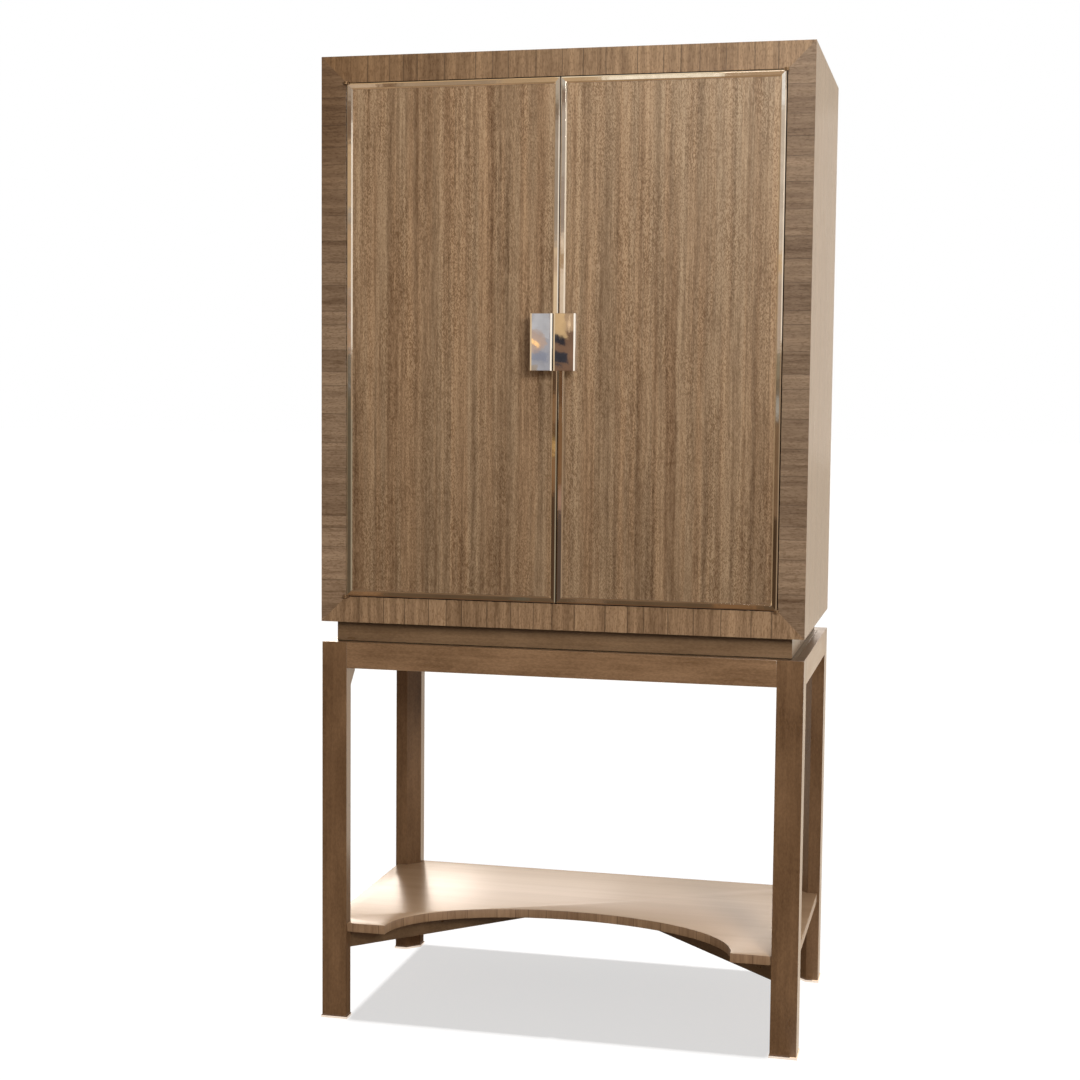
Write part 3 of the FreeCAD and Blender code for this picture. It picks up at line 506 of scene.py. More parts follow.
def layer(t, grain, width, length, detail=2.0, low=0.3, high=0.7):
    """Streaks in full contrast: 0 below one level of their noise, and 1 above another."""
    return t.stretch(streaks(t, grain, width, length, detail), low, high)


def flecks(t, grain, width, length, full, none):
    """Short pores: 1 below one level of their noise, and 0 above another."""
    return t.stretch(streaks(t, grain, width, length, 1), full, none, 1, 0)


print("grain runs along x, y or z")

# %% [markdown]
# One recipe makes every quiet veneer.  The share of each layer is a value, because the inside is
# livelier than the sides.

# %% Lacquered veneer
RELIEF = 0.0006                 # metres from the bottom of a pore to the top of the lacquer
FLECK_DEPTH = 0.8               # of a pore, against the height of the fine lines


def lacquered(t, colour, height, roughness, bump=0.12):
    """Satin lacquer over a colour and a height from 0 to 1; joins them to the output."""
    normal = t.add("ShaderNodeBump", {"Height": height, "Strength": bump, "Distance": RELIEF})
    wood = {"Base Color": colour, "Roughness": roughness, "Normal": normal, "IOR": 1.5}
    shader = t.add("ShaderNodeBsdfPrincipled", wood)
    t.add("ShaderNodeOutputMaterial", {"Surface": shader})


def weighed(t, *layers):
    """Adds layers, each an output and its share."""
    tone = 0.0
    for output, share in layers:
        tone = t.plus(tone, t.times(output, share))
    return tone


def veneer(name, grain, dark, light, bands, lines, pores, gloss=0.34, shift=0.0, bump=0.12,
           uneven=0.045):
    """A quiet straight-grained veneer between two colours.

    bands and lines are the shares of its broad tones and its lines; fine streaks take the rest."""
    made, t = new_material(name)
    place = along_grain(t, grain, shift)
    band = layer(t, place, 0.055, 2.2)
    line = layer(t, place, 0.012, 0.6, 3)
    fine = layer(t, place, 0.0022, 0.11)
    tone = weighed(t, (band, bands), (line, lines), (fine, 1 - bands - lines))
    fleck = flecks(t, place, 0.0014, 0.008, 0.36, 0.50)
    colour = t.tinted(t.times(fleck, pores), t.blend(tone, dark, light), (0.66, 0.62, 0.58))
    roughness = t.stretch(fine, 0, 1, gloss - uneven, gloss + uneven)
    lacquered(t, colour, t.minus(fine, t.times(fleck, FLECK_DEPTH)), roughness, bump)
    return made


side_veneer = veneer("side_veneer", "z", rgb(113, 89, 67), rgb(144, 117, 91), 0.5, 0.3, 0.15,
                     gloss=0.30, shift=1.7)
top_veneer = veneer("top_veneer", "x", rgb(118, 92, 68), rgb(152, 123, 95), 0.5, 0.3, 0.2,
                    shift=2.3)
INNER_DARK = rgb(112, 82, 56)
inner_upright = veneer("inner_upright", "z", INNER_DARK, rgb(160, 126, 94), 0.45, 0.3, 0.4,
                       shift=7.3)
inner_level = veneer("inner_level", "x", INNER_DARK, rgb(164, 130, 97), 0.45, 0.3, 0.4, shift=8.9)
inner_deep = veneer("inner_deep", "y", INNER_DARK, rgb(160, 126, 94), 0.45, 0.3, 0.4, shift=9.4)
print("plain veneers:", side_veneer.name, top_veneer.name, inner_upright.name)

# %% [markdown]
# The doors carry the liveliest wood.  Between its streaks lie short dark flecks, some leaning to
# the left and some to the right, and in places they crowd into a pebbly mottle.  Painted shade
# darkens the leaves a little towards the foot, and a painted sheen makes them paler at the top
# right.

# %% Figured veneer of the doors
RED_TINT = (1.03, 0.97, 0.92)   # of some broad bands
FLECK_TINT = (0.54, 0.46, 0.38)
SHEEN_TINT = (1.0, 1.06, 1.14)   # painted sheen at the top right
SHEEN_X, SHEEN_Z = (-0.1, 0.4), (1.3, 2.0)    # from where it begins to where it is full
# painted shade towards the foot of the doors
FOOT_SHADE_TINT = (0.86, 0.85, 0.84)
FOOT_SHADE_Z = (0.95, 1.5)            # from where it is full to where it ends


def leaning(t, place, lean):
    """Coordinates sheared so that streaks along Z lean sideways."""
    push = t.add("ShaderNodeCombineXYZ", {0: t.times(t.axes(place)["Z"], lean)})
    return t.moved(place, push)


def figured(name, dark, light):
    made, t = new_material(name)
    place = along_grain(t, "z")
    band = layer(t, place, 0.040, 2.6)
    wide = layer(t, place, 0.012, 0.9, 2, 0.32, 0.68)
    ribbon = layer(t, place, 0.0075, 1.6, 2, 0.46, 0.54)
    line = layer(t, place, 0.0050, 0.07, 2, 0.32, 0.68)
    fine = layer(t, place, 0.0024, 0.02, 1)
    tone = weighed(t, (band, 0.20), (wide, 0.30), (ribbon, 0.13), (line, 0.20), (fine, 0.17))
    red = layer(t, place, 0.019, 1.1, 2, 0.40, 0.62)
    colour = t.tinted(red, t.blend(tone, dark, light), RED_TINT)

    bend = t.stretch(t.noise(t.scaled(place, (55, 55, 120)), detail=1), 0, 1, -0.004, 0.004)
    bent = t.moved(place, t.add("ShaderNodeCombineXYZ", {0: bend}))
    left = flecks(t, leaning(t, bent, 0.20), 0.0019, 0.0068, 0.38, 0.49)
    right = flecks(t, leaning(t, bent, -0.17), 0.0018, 0.0060, 0.38, 0.48)
    crowd = t.stretch(streaks(t, place, 0.035, 0.30, 1), 0.35, 0.65, 0.55, 1.0)
    fleck = t.times(t.math("MAXIMUM", left, right), crowd)
    colour = t.tinted(fleck, colour, FLECK_TINT)

    axes = t.axes()
    # Painted sheen at the top right, then painted shade towards the foot.
    painted_sheen = t.times(t.stretch(axes["X"], *SHEEN_X), t.stretch(axes["Z"], *SHEEN_Z))
    colour = t.tinted(painted_sheen, colour, SHEEN_TINT)
    colour = t.tinted(t.stretch(axes["Z"], *FOOT_SHADE_Z, 1, 0), colour, FOOT_SHADE_TINT)
    height = t.minus(fine, t.times(fleck, FLECK_DEPTH))
    lacquered(t, colour, height, t.stretch(fine, 0, 1, 0.30, 0.40))
    return made


door_veneer = figured("door_veneer", rgb(92, 67, 43), rgb(190, 165, 134))
print("doors take", door_veneer.name)

# %% [markdown]
# The base is plain hardwood under a brown stain.  Stain hides the grain and gathers in soft
# clouds, so this finish is made of cloudy noise with only a trace of long grain.  Where two boards
# meet it sinks in and draws a dark line.  Below a ledge a painted shadow of the overhang darkens
# it.

# %% Stained hardwood
JOINT_STAIN = rgb(42, 30, 20)
JOINT_FADE = (0.0022, 0.0012)   # from a joint: where its line begins and where it is full
LEDGE_SHADOW_FADE = (0.026, 0.002)     # below a ledge: where its painted shadow begins and where it is full
# how dark the painted shadow below a ledge gets
LEDGE_SHADOW_TINT = (0.30,) * 3


def stained(name, grain, dark, light, gloss=0.30, shift=0.0, joint=None, under=None):
    """joint is an axis, a middle and a half width: a dark line of stain lies at both its ends.

    under is the height of a ledge; below it a painted shadow of the overhang darkens the colour."""
    made, t = new_material(name)
    place = along_grain(t, grain, shift)
    cloud = layer(t, place, 0.045, 0.16, 3)
    line = layer(t, place, 0.007, 0.30)
    speck = layer(t, place, 0.0030, 0.007, 1)
    colour = t.blend(weighed(t, (cloud, 0.46), (line, 0.24), (speck, 0.30)), dark, light)
    axes = t.axes()
    # Painted shadow below the ledge.
    if under is not None:
        shade = t.stretch(axes["Z"], *(under - fade for fade in LEDGE_SHADOW_FADE))
        colour = t.tinted(shade, colour, LEDGE_SHADOW_TINT)
    if joint is not None:
        axis, middle, half = joint
        away = t.math("ABSOLUTE", t.minus(axes[axis], middle))
        near = t.stretch(away, *(half - fade for fade in JOINT_FADE))
        colour = t.blend(near, colour, JOINT_STAIN)
    lacquered(t, colour, speck, t.stretch(cloud, 0, 1, gloss - 0.03, gloss + 0.05), bump=0.08)
    return made


rail_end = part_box("base_front_rail")[1].x
plinth_low, plinth_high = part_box("plinth_boards")
leg_stain = stained("leg_stain", "z", rgb(84, 60, 39), rgb(134, 103, 73), shift=3.1)
rail_stain = stained("rail_stain", "x", rgb(102, 76, 52), rgb(158, 126, 95), shift=5.7,
                     joint=("X", 0, rail_end))
deck_stain = stained("deck_stain", "x", rgb(98, 76, 52), rgb(140, 114, 84), shift=8.2)
bearer_stain = stained("bearer_stain", "x", rgb(82, 62, 43), rgb(120, 96, 70), shift=2.6)
side_rail_stain = stained("side_rail_stain", "y", rgb(104, 78, 54), rgb(154, 122, 92), shift=1.1)
# At the plinth's foot the dark joint line also stands for the shade in the crease above the deck,
# so it is partly painted shade.
plinth_joint = ("Z", plinth_high.z, plinth_high.z - plinth_low.z)
# The plinth takes a painted shadow under the case's overhang.
plinth_stain = stained("plinth_stain", "x", rgb(104, 80, 57), rgb(150, 122, 92), shift=4.9,
                       joint=plinth_joint, under=plinth_high.z)
# Painted shade: nearly black for the faces inside the door opening, so the gap reads as a shadow
# line.
painted_opening_shade = stained("painted_opening_shade", "z", rgb(30, 21, 14), rgb(50, 36, 24), gloss=0.55,
                        shift=7.7)
print("stains:", leg_stain.name, rail_stain.name, plinth_stain.name, painted_opening_shade.name)

# %% [markdown]
# ## Crossbanding
#
# The frame round the doors is crossbanded: short strips of veneer lie side by side with their grain
# across the frame.  One-dimensional Voronoi cells give strips of uneven width, their distance to
# the edge draws the joint, and each cell's own number shifts the grain and the tone of its strip.

# %% Crossband veneer
STRIP_WIDTH = 0.05
JOINT_WIDTH = 0.0016
JOINT_WANDER = 0.0015           # metres by which a joint strays from a straight line
GRAIN_JUMP = 40.0               # from strip to strip, so that no two share their grain
FIRST_STRIP = 10                # metres along the noise at which the cells begin
FRAME_WIDTH = 0.06
GLUE_LINE = rgb(54, 38, 25)
TOP_SHADE_FADE = (0.45, 0.1)          # below the top: where the painted shade on the left begins and is full
CORNER_SHADE_FADE, RIGHT_FADE, FOOT_FADE = 0.35, 0.2, 0.4     # metres that the painted shade at the corner and the tones of the right side and foot reach


def strips(t, run, place):
    """Tone, joints, fine lines and pores, each 0..1, of strips that follow each other in a run."""
    cell = {"W": t.times(run, 1 / STRIP_WIDTH), "Scale": 1.0, "Randomness": 1.0}
    strip, edge = (
        t.add("ShaderNodeTexVoronoi", cell, output=output, voronoi_dimensions="1D", feature=feature)
        for output, feature in (("Color", "F1"), ("Distance", "DISTANCE_TO_EDGE")))
    number = t.add("ShaderNodeSeparateColor", {0: strip})
    own = t.moved(place, t.add("ShaderNodeCombineXYZ", {0: t.times(number, GRAIN_JUMP)}))
    fine = layer(t, own, 0.0028, 0.03)
    soft = layer(t, own, 0.011, 0.4)
    pores = flecks(t, own, 0.0026, 0.0075, 0.36, 0.50)
    joint = t.stretch(edge, 0, JOINT_WIDTH / STRIP_WIDTH, 1, 0)
    return weighed(t, (soft, 0.42), (fine, 0.28), (number, 0.30)), joint, fine, pores


def crossband(name, grain, run_axis, dark, light, fade, joints=0.8, shift=0.0, right=1.0,
              foot=1.0):
    """Crossbanding with its grain on one axis and its strips following each other on another.

    The strip at each mitre is whole.  The top left is darkened with painted shade, as the light
    comes from the right; fade is how far to the right that shade reaches.  right and foot are the
    tones of the far right side and foot."""
    made, t = new_material(name)
    axes = t.axes()
    wave = t.stretch(t.noise(t.scaled(t.place(), (28,) * 3)), 0, 1, -JOINT_WANDER, JOINT_WANDER)
    ends = (door_low.z, door_high.z) if run_axis == "z" else (-door_high.x, door_high.x)
    run = t.plus(t.stretch(axes[run_axis.upper()], *ends, *ends), wave)
    run = t.plus(run, FIRST_STRIP + shift)
    tone, joint, fine, pores = strips(t, run, along_grain(t, grain, shift))
    colour = t.tinted(t.times(pores, 0.7), t.blend(tone, dark, light), (0.66, 0.60, 0.53))

    hinge, top, edge = door_high.x, door_high.z, -door_high.x - FRAME_WIDTH
    left = t.times(t.stretch(axes["X"], edge, edge + fade, 1, 0),
                   t.stretch(axes["Z"], *(top - below for below in TOP_SHADE_FADE)))
    corner = t.times(t.stretch(axes["X"], edge, edge + 2 * FRAME_WIDTH, 1, 0),
                     t.stretch(axes["Z"], top - CORNER_SHADE_FADE, top))
    far = t.stretch(axes["X"], hinge - RIGHT_FADE, hinge)
    near = t.stretch(axes["Z"], door_low.z, door_low.z + FOOT_FADE, 1, 0)
    # left and corner are painted shade at the top left, where the light from the right falls off.
    for factor, tint in ((left, (0.74, 0.66, 0.56)), (corner, (0.80, 0.76, 0.72)),
                         (far, (right,) * 3), (near, (foot,) * 3)):
        colour = t.tinted(factor, colour, tint)
    colour = t.blend(t.times(joint, joints), colour, GLUE_LINE)
    height = t.minus(fine, t.times(joint, 1.5))
    lacquered(t, colour, height, t.stretch(fine, 0, 1, 0.30, 0.40))
    return made


top_rail_band = crossband("top_rail_band", "z", "x", rgb(84, 61, 40), rgb(170, 142, 111), fade=0.6)
rail_band = crossband("rail_band", "z", "x", rgb(92, 67, 44), rgb(178, 148, 116), fade=0.5,
                      shift=1.7)
stile_band = crossband("stile_band", "x", "z", rgb(91, 69, 50), rgb(163, 140, 116), fade=0.3,
                       joints=0.55, shift=3.3, right=0.84, foot=1.22)
print("strips about", STRIP_WIDTH * 1000, "mm wide")

# %% [markdown]
# ## Solid wood, metal, glass and plastic
#
# The hidden framework is plain oiled hardwood, without lacquer to fill its pores.

# %% Oiled hardwood
def hardwood(name, grain):
    made, t = new_material(name)
    place = along_grain(t, grain, 6.1)
    soft = layer(t, place, 0.03, 0.9, 3)
    fine = layer(t, place, 0.0015, 0.05)
    tone = weighed(t, (soft, 0.6), (fine, 0.4))
    colour = t.blend(tone, rgb(150, 114, 78), rgb(196, 160, 120))
    lacquered(t, colour, fine, t.stretch(fine, 0, 1, 0.5, 0.65), bump=0.2)
    return made


wood_x, wood_y, wood_z = (hardwood("hardwood_" + axis, axis) for axis in "xyz")
print("hardwood in", wood_x.name, wood_y.name, wood_z.name)

# %% [markdown]
# Metal is polished, so its colour hardly varies.  What makes it real is how the faint lines and
# waves that polishing leaves bend the reflections.

# %% Polished and brushed metal
CLOUD = (35, 35, 35)            # soft clouds in a metre of metal
WORN_TINT = (0.86, 0.86, 0.86)


def metal(name, colour, roughness, lines, brushed="z", wave=0.0):
    """Metal with fine lines along one axis; wave is how far hand polishing left it uneven."""
    made, t = new_material(name)
    place = along_grain(t, brushed)
    line = streaks(t, place, 0.0004, 0.02, 1)
    cloud = t.noise(t.scaled(place, CLOUD))
    tint = t.tinted(t.stretch(cloud, 0.3, 0.7, 0, 0.35), colour, WORN_TINT)
    rough = t.plus(t.stretch(line, 0.3, 0.7, 0, lines), t.stretch(cloud, 0.35, 0.7, 0, lines))
    height = t.plus(t.times(line, lines * 0.02), t.times(cloud, wave))
    normal = t.add("ShaderNodeBump", {"Height": height, "Strength": 1.0, "Distance": 0.001})
    shine = {"Base Color": tint, "Metallic": 1.0, "Roughness": t.plus(rough, roughness),
             "Normal": normal}
    t.add("ShaderNodeOutputMaterial", {"Surface": t.add("ShaderNodeBsdfPrincipled", shine)})
    return made


trim_metal = metal("trim_metal", rgb(232, 220, 204), 0.03, 0.02, wave=0.08)
pull_metal = metal("pull_metal", rgb(236, 230, 222), 0.012, 0.01, wave=0.02)
foot_metal = metal("foot_metal", rgb(238, 222, 206), 0.16, 0.08, "x")
brass = metal("brass", rgb(222, 188, 132), 0.22, 0.10, "x")
aged_brass = metal("aged_brass", rgb(138, 114, 88), 0.5, 0.12)
steel = metal("steel", rgb(178, 176, 172), 0.28, 0.15)
print("metals:", trim_metal.name, pull_metal.name, foot_metal.name, brass.name, steel.name)

# %% [markdown]
# Plate glass is clear through its faces and green through its cut edge, where light has a long way
# to go.  The faces look up and down here, so the normal tells them from the edge.  The catches
# are moulded plastic with a leathery skin.

# %% Glass, mirror and plastic
def glass(name):
    made, t = new_material(name)
    upward = t.axes(t.add("ShaderNodeNewGeometry", output="Normal"))
    flat = t.stretch(t.math("ABSOLUTE", upward["Z"]), 0.4, 0.6)
    smear = t.stretch(t.noise(t.scaled(t.place(), (9, 14, 9)), detail=3), 0.5, 0.8, 0.0, 0.05)
    clear = {"Base Color": t.blend(flat, rgb(158, 196, 180), rgb(242, 250, 246)),
             "Roughness": smear, "IOR": 1.5, "Transmission Weight": 1.0}
    t.add("ShaderNodeOutputMaterial", {"Surface": t.add("ShaderNodeBsdfPrincipled", clear)})
    return made


def plastic(name, colour):
    made, t = new_material(name)
    grit = t.noise(t.scaled(t.place(), (2500,) * 3))
    paler = t.tinted(t.stretch(grit, 0.3, 0.7), colour, (1.3,) * 3)
    lacquered(t, paler, grit, t.stretch(grit, 0.3, 0.7, 0.45, 0.6), bump=0.3)
    return made


shelf_glass = glass("shelf_glass")
mirror_silver = metal("mirror_silver", rgb(238, 240, 242), 0.004, 0.006, "x")
catch_plastic = plastic("catch_plastic", rgb(62, 46, 36))
print("glass, mirror and plastic are ready")

# %% [markdown]
# ## The lower shelf
#
# The shelf's faces and its edge are veneered apart.  The top shows long grain; the edge is banded
# with short upright strips that follow the bay, so its pattern runs on an attribute that holds the
# distance round the edge, not on a straight axis.

# %% Shelf veneers
def edge_band(name, dark, light):
    made, t = new_material(name)
    run = t.add("ShaderNodeAttribute", output="Fac", attribute_name="along")
    place = t.add("ShaderNodeCombineXYZ", {0: run, 2: t.axes()["Z"]})
    tone, joint, fine, _ = strips(t, t.plus(run, 5), place)
    colour = t.blend(t.times(joint, 0.6), t.blend(tone, dark, light), rgb(70, 48, 32))
    lacquered(t, colour, fine, t.stretch(fine, 0, 1, 0.35, 0.45))
    return made


# The top's veneer is much paler than the other veneers: partly its own tone and partly a painted
# sheen of the light it reflects from behind.
shelf_veneer = veneer("shelf_top_veneer", "x", rgb(192, 158, 124), rgb(210, 176, 142), 0.64, 0.22,
                      0.03, gloss=0.25, shift=6.6, bump=0.02, uneven=0.006)
shelf_edge = edge_band("shelf_edge_veneer", rgb(114, 86, 62), rgb(176, 146, 116))
print("shelf veneers:", shelf_veneer.name, shelf_edge.name)

# %% [markdown]
# ## A finish for every solid
#
# A solid keeps its own slot in the record; here that slot gets the finished material.

# %% Materials by solid
finish = {
    leg_stain: "front_left_leg front_right_leg back_left_leg back_right_leg",
    rail_stain: "base_front_rail base_back_rail",
    deck_stain: "base_deck",
    bearer_stain: "shelf_front_bearers shelf_back_bearer",
    side_rail_stain: "base_side_rails",
    side_veneer: "case_left_side case_right_side case_back",
    top_veneer: "case_top case_bottom",
    plinth_stain: "plinth_boards",
    top_rail_band: "frame_top_rail",
    rail_band: "frame_bottom_rail",
    stile_band: "frame_stiles",
    door_veneer: "left_door_panel right_door_panel",
    shelf_veneer: "lower_shelf",
    inner_upright: "gables",
    inner_level: "case_floor case_ceiling counter upper_shelf left_leaf right_leaf",
    inner_deep: "stemware_rails bottle_dividers",
    wood_x: "battens",
    wood_y: "loper_guides left_loper right_loper",
    wood_z: "plinth_blocks",
    trim_metal: "left_door_trim right_door_trim",
    aged_brass: "door_pivot_plates left_door_pivots right_door_pivots",
    pull_metal: "left_pull right_pull",
    steel: "case_bolts left_door_strike right_door_strike left_pull_screws right_pull_screws",
    foot_metal: "ferrules",
    brass: "counter_hinge_flaps leaf_hinge_pins shelf_pins left_leaf_hinge right_leaf_hinge "
           "left_loper_knob right_loper_knob",
    catch_plastic: "door_catches",
    shelf_glass: "glass_shelf",
    mirror_silver: "mirror_back",
}
material_of = {node: made for made, names in finish.items() for node in names.split()}
for node, solid in nodes.items():
    for slot in solid.material_slots:
        slot.material = material_of[node]
print("finished", len(material_of), "of", len(nodes))

# %% [markdown]
# ## Eased edges
#
# No wooden edge is left sharp: a stroke of sandpaper rounds it by half a millimetre, and that
# narrow round catches the light as a bright line.  A CAD mesh is loose triangles, so a copy is
# merged, its flat faces are joined again, and its long square edges are bevelled.

# %% Copies with eased edges
EASE = 0.0007
SHORTEST = 0.012                # an edge shorter than this stays sharp
UPRIGHT = 0.99                  # of a unit normal along an axis, for a face square to it


def merged(node):
    """A bmesh of a solid with its triangles joined into whole faces."""
    copy = bmesh.new()
    copy.from_mesh(nodes[node].data)
    bmesh.ops.remove_doubles(copy, verts=copy.verts, dist=2e-6)
    bmesh.ops.dissolve_limit(copy, angle_limit=math.radians(0.5), verts=copy.verts,
                             edges=copy.edges)
    return copy


def squared(face):
    """Whether a face looks along an axis, as all but mitres and chamfers do."""
    return max(abs(part) for part in face.normal) > UPRIGHT


def outer_edges(copy, angle, shortest=0.0):
    """Edges that stick out, turn by more than an angle in degrees and aren't too short."""
    return [edge for edge in copy.edges if edge.is_manifold and edge.is_convex
            and edge.calc_length() > shortest and edge.calc_face_angle() > math.radians(angle)]


def bevelled(copy, edges, width, segments, clamp=False):
    bmesh.ops.bevel(copy, geom=edges, offset=width, segments=segments, profile=0.5,
                    affect="EDGES", clamp_overlap=clamp)


def placed(copy, name, node, *materials):
    """Turns a bmesh into a piece that stands for a node."""
    mesh = bpy.data.meshes.new(name)
    copy.to_mesh(mesh)
    copy.free()
    for attribute in ("custom_normal", "sharp_face"):
        if attribute in mesh.attributes:
            mesh.attributes.remove(mesh.attributes[attribute])
    mesh.shade_smooth()
    mesh.set_sharp_from_angle(angle=math.radians(20))
    for material in materials or [material_of[node]]:
        mesh.materials.append(material)
    piece = into_scene(name, mesh)
    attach(piece, body_of[node])
    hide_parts(node)
    return piece


def eased(node):
    """A copy of a solid whose long square edges are rounded, and how many they are."""
    copy = merged(node)
    edges = [edge for edge in outer_edges(copy, 60, SHORTEST)
             if all(squared(face) for face in edge.link_faces)]
    bevelled(copy, edges, EASE, 2)
    return placed(copy, node + "_eased", node), len(edges)


wooden = ("front_left_leg front_right_leg back_left_leg back_right_leg base_front_rail "
          "base_back_rail base_side_rails base_deck plinth_boards case_left_side case_right_side "
          "case_top case_bottom case_back frame_stiles frame_top_rail frame_bottom_rail counter "
          "upper_shelf left_leaf right_leaf left_loper right_loper").split()
count = {node: eased(node)[1] for node in wooden}
print("eased edges:", count)

# %% [markdown]
# Inside the opening the rails are made nearly black with painted shade, so that the gap above and
# below the doors reads as one crisp dark line of shadow.

# %% Dark edge of the opening
GAP = 0.003                     # a little more than the gap between doors and frame
for node in ("frame_top_rail", "frame_bottom_rail"):
    mesh = bpy.data.objects[node + "_eased"].data
    mesh.materials.append(painted_opening_shade)
    for face in mesh.polygons:
        x, _, z = face.center
        within = abs(x) < door_high.x + GAP and door_low.z - GAP < z < door_high.z + GAP
        face.material_index = int(within and abs(face.normal.y) < 0.5)
    print(node, sum(face.material_index for face in mesh.polygons), "dark faces")

# %% [markdown]
# ## Metal with wider bevels
#
# Each strip of the door edging falls away to both sides.  The bevel along the edge of the door is
# drawn a little wider here than in the solid, because that is where a bright line of window light
# runs down the metal.  The strips keep flat faces, so that each mirrors one tone.

# %% Edging with wider outer bevels
SECTION = [                     # in from the edge of the door, up from its face, in metres
    (0.0, -0.003), (0.0, 0.00195), (0.0024, 0.003907), (0.010, 0.0032), (0.013, 0.0004),
    (0.013, -0.003)]
RIM = 0.00012                   # the round left by polishing


def around(ring):
    """Each thing of a closed ring with the one that follows it."""
    return list(zip(ring, ring[1:] + ring[:1]))


def joined(copy, ring, following):
    """Faces between two rings of as many corners."""
    for (a, b), (c, d) in zip(around(ring), around(following)):
        copy.faces.new((a, b, d, c))


def edging(node):
    """Four strips of one section round a door, mitred at the corners."""
    low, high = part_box(node)
    strip = bmesh.new()
    rings = []
    for inset, rise in SECTION:
        corners = oblong(low.x + inset, high.x - inset, low.z + inset, high.z - inset)
        rings.append([strip.verts.new((x, case_front - rise, z)) for x, z in corners])
    for ring, following in around(rings):
        joined(strip, ring, following)
    bmesh.ops.recalc_face_normals(strip, faces=strip.faces)
    bevelled(strip, outer_edges(strip, 10, 0.02), RIM, 1, clamp=True)
    piece = placed(strip, node + "_bevelled", node)
    piece.data.shade_flat()
    return piece


for node in ("left_door_trim", "right_door_trim"):
    print(node, len(edging(node).data.polygons), "faces")

# %% [markdown]
# The pulls' long bevels are drawn flatter, so that they look past each other into the light.

# %% Pulls with flat bevels
BEVEL_WIDTH, BEVEL_DEPTH = 0.0039, 0.0020
FRONT_FACE, FRONT_BEVEL = 0.0005, 0.005     # corners this near the front belong to them
PULL_EASE = 0.0004


def polished_pull(node):
    copy = merged(node)
    low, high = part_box(node)
    middle = (low.x + high.x) / 2
    for corner in copy.verts:
        x, y, _ = corner.co
        if y < low.y + FRONT_FACE:
            corner.co.x = low.x + BEVEL_WIDTH if x < middle else high.x - BEVEL_WIDTH
        elif y < low.y + FRONT_BEVEL:
            corner.co.y = low.y + BEVEL_DEPTH
    copy.normal_update()
    bevelled(copy, outer_edges(copy, 50, 0.02), PULL_EASE, 2)
    return placed(copy, node + "_polished", node)


pulls = [polished_pull(node) for node in ("left_pull", "right_pull")]
print([len(pull.data.polygons) for pull in pulls], "faces")

# %% [markdown]
# The lower shelf gets its two finishes here.  Every face that stands upright takes the banded
# edge, and each of its corners gets the distance round the outline at which it lies.

# %% The shelf with its banded edge
SHELF_EASE = 0.0012


def run_along(outline, place):
    """Distance round an outline to the point of it that is nearest to a place."""
    best, run = (math.inf, 0), 0.0
    for start, end in around(outline):
        side = end - start
        part = min(max((place - start).dot(side) / side.length_squared, 0), 1)
        best = min(best, ((start + side * part - place).length, run + side.length * part))
        run += side.length
    return best[1]


shelf = merged("lower_shelf")
shelf_top = max((face for face in shelf.faces if face.normal.z > UPRIGHT),
                key=lambda face: face.calc_area())
outline = [corner.co.xy.copy() for corner in shelf_top.verts]
way_round = sum((end - start).length for start, end in around(outline))
rim = [edge for edge in outer_edges(shelf, 60)
       if any(abs(face.normal.z) > UPRIGHT for face in edge.link_faces)]
bevelled(shelf, rim, SHELF_EASE, 3)
along = shelf.loops.layers.float.new("along")
for face in shelf.faces:
    face.material_index = int(abs(face.normal.z) < 0.9)
    places = [run_along(outline, loop.vert.co.xy) for loop in face.loops]
    for loop, place in zip(face.loops, places):
        loop[along] = place + way_round * (max(places) - place > way_round / 2)
placed(shelf, "lower_shelf_eased", "lower_shelf", shelf_veneer, shelf_edge)
print("shelf outline of", len(outline), "corners,", round(way_round, 3), "m round")

# %% [markdown]
# ## Screws
#
# The back panel, the hinge flaps and the strike plates are screwed on with flat heads that have a
# cross recess.  One head is modelled from points given one by one, because every screw here is the
# same but for its size.

# %% One screw head
SIDES = 16
ARM, HALF = 0.58, 0.13          # of the recess: how far it reaches and half its width


def screw_head():
    """A flat head one unit in radius that looks along +Z, its face at z = 0.1."""
    head = bmesh.new()
    turns = [step * math.tau / SIDES for step in range(SIDES)]
    rim = [head.verts.new((math.cos(turn), math.sin(turn), -0.12)) for turn in turns]
    face = [head.verts.new((0.93 * corner.co.x, 0.93 * corner.co.y, 0.10)) for corner in rim]
    outline = [(HALF, HALF), (HALF, ARM), (-HALF, ARM), (-HALF, HALF), (-ARM, HALF), (-ARM, -HALF),
               (-HALF, -HALF), (-HALF, -ARM), (HALF, -ARM), (HALF, -HALF), (ARM, -HALF),
               (ARM, HALF)]
    top = [head.verts.new((x, y, 0.12)) for x, y in outline]
    deep = [head.verts.new((0.7 * x, 0.7 * y, -0.10)) for x, y in outline]
    joined(head, rim, face)
    joined(head, top, deep)
    head.faces.new(deep)
    edges = [head.edges.get(pair) for ring in (face, top) for pair in around(ring)]
    bmesh.ops.triangle_fill(head, use_beauty=True, edges=edges)
    bmesh.ops.recalc_face_normals(head, faces=head.faces)
    mesh = bpy.data.meshes.new("screw_head")
    head.to_mesh(mesh)
    head.free()
    return mesh


screw = into_scene("screw_head", screw_head())
print("screw head of", len(screw.data.polygons), "faces")

# %% [markdown]
# Geometry Nodes then set the head on every point of a small cloud.  Each point carries the way its
# screw faces and its size, and the recesses are turned at random, as a hand driver leaves them.

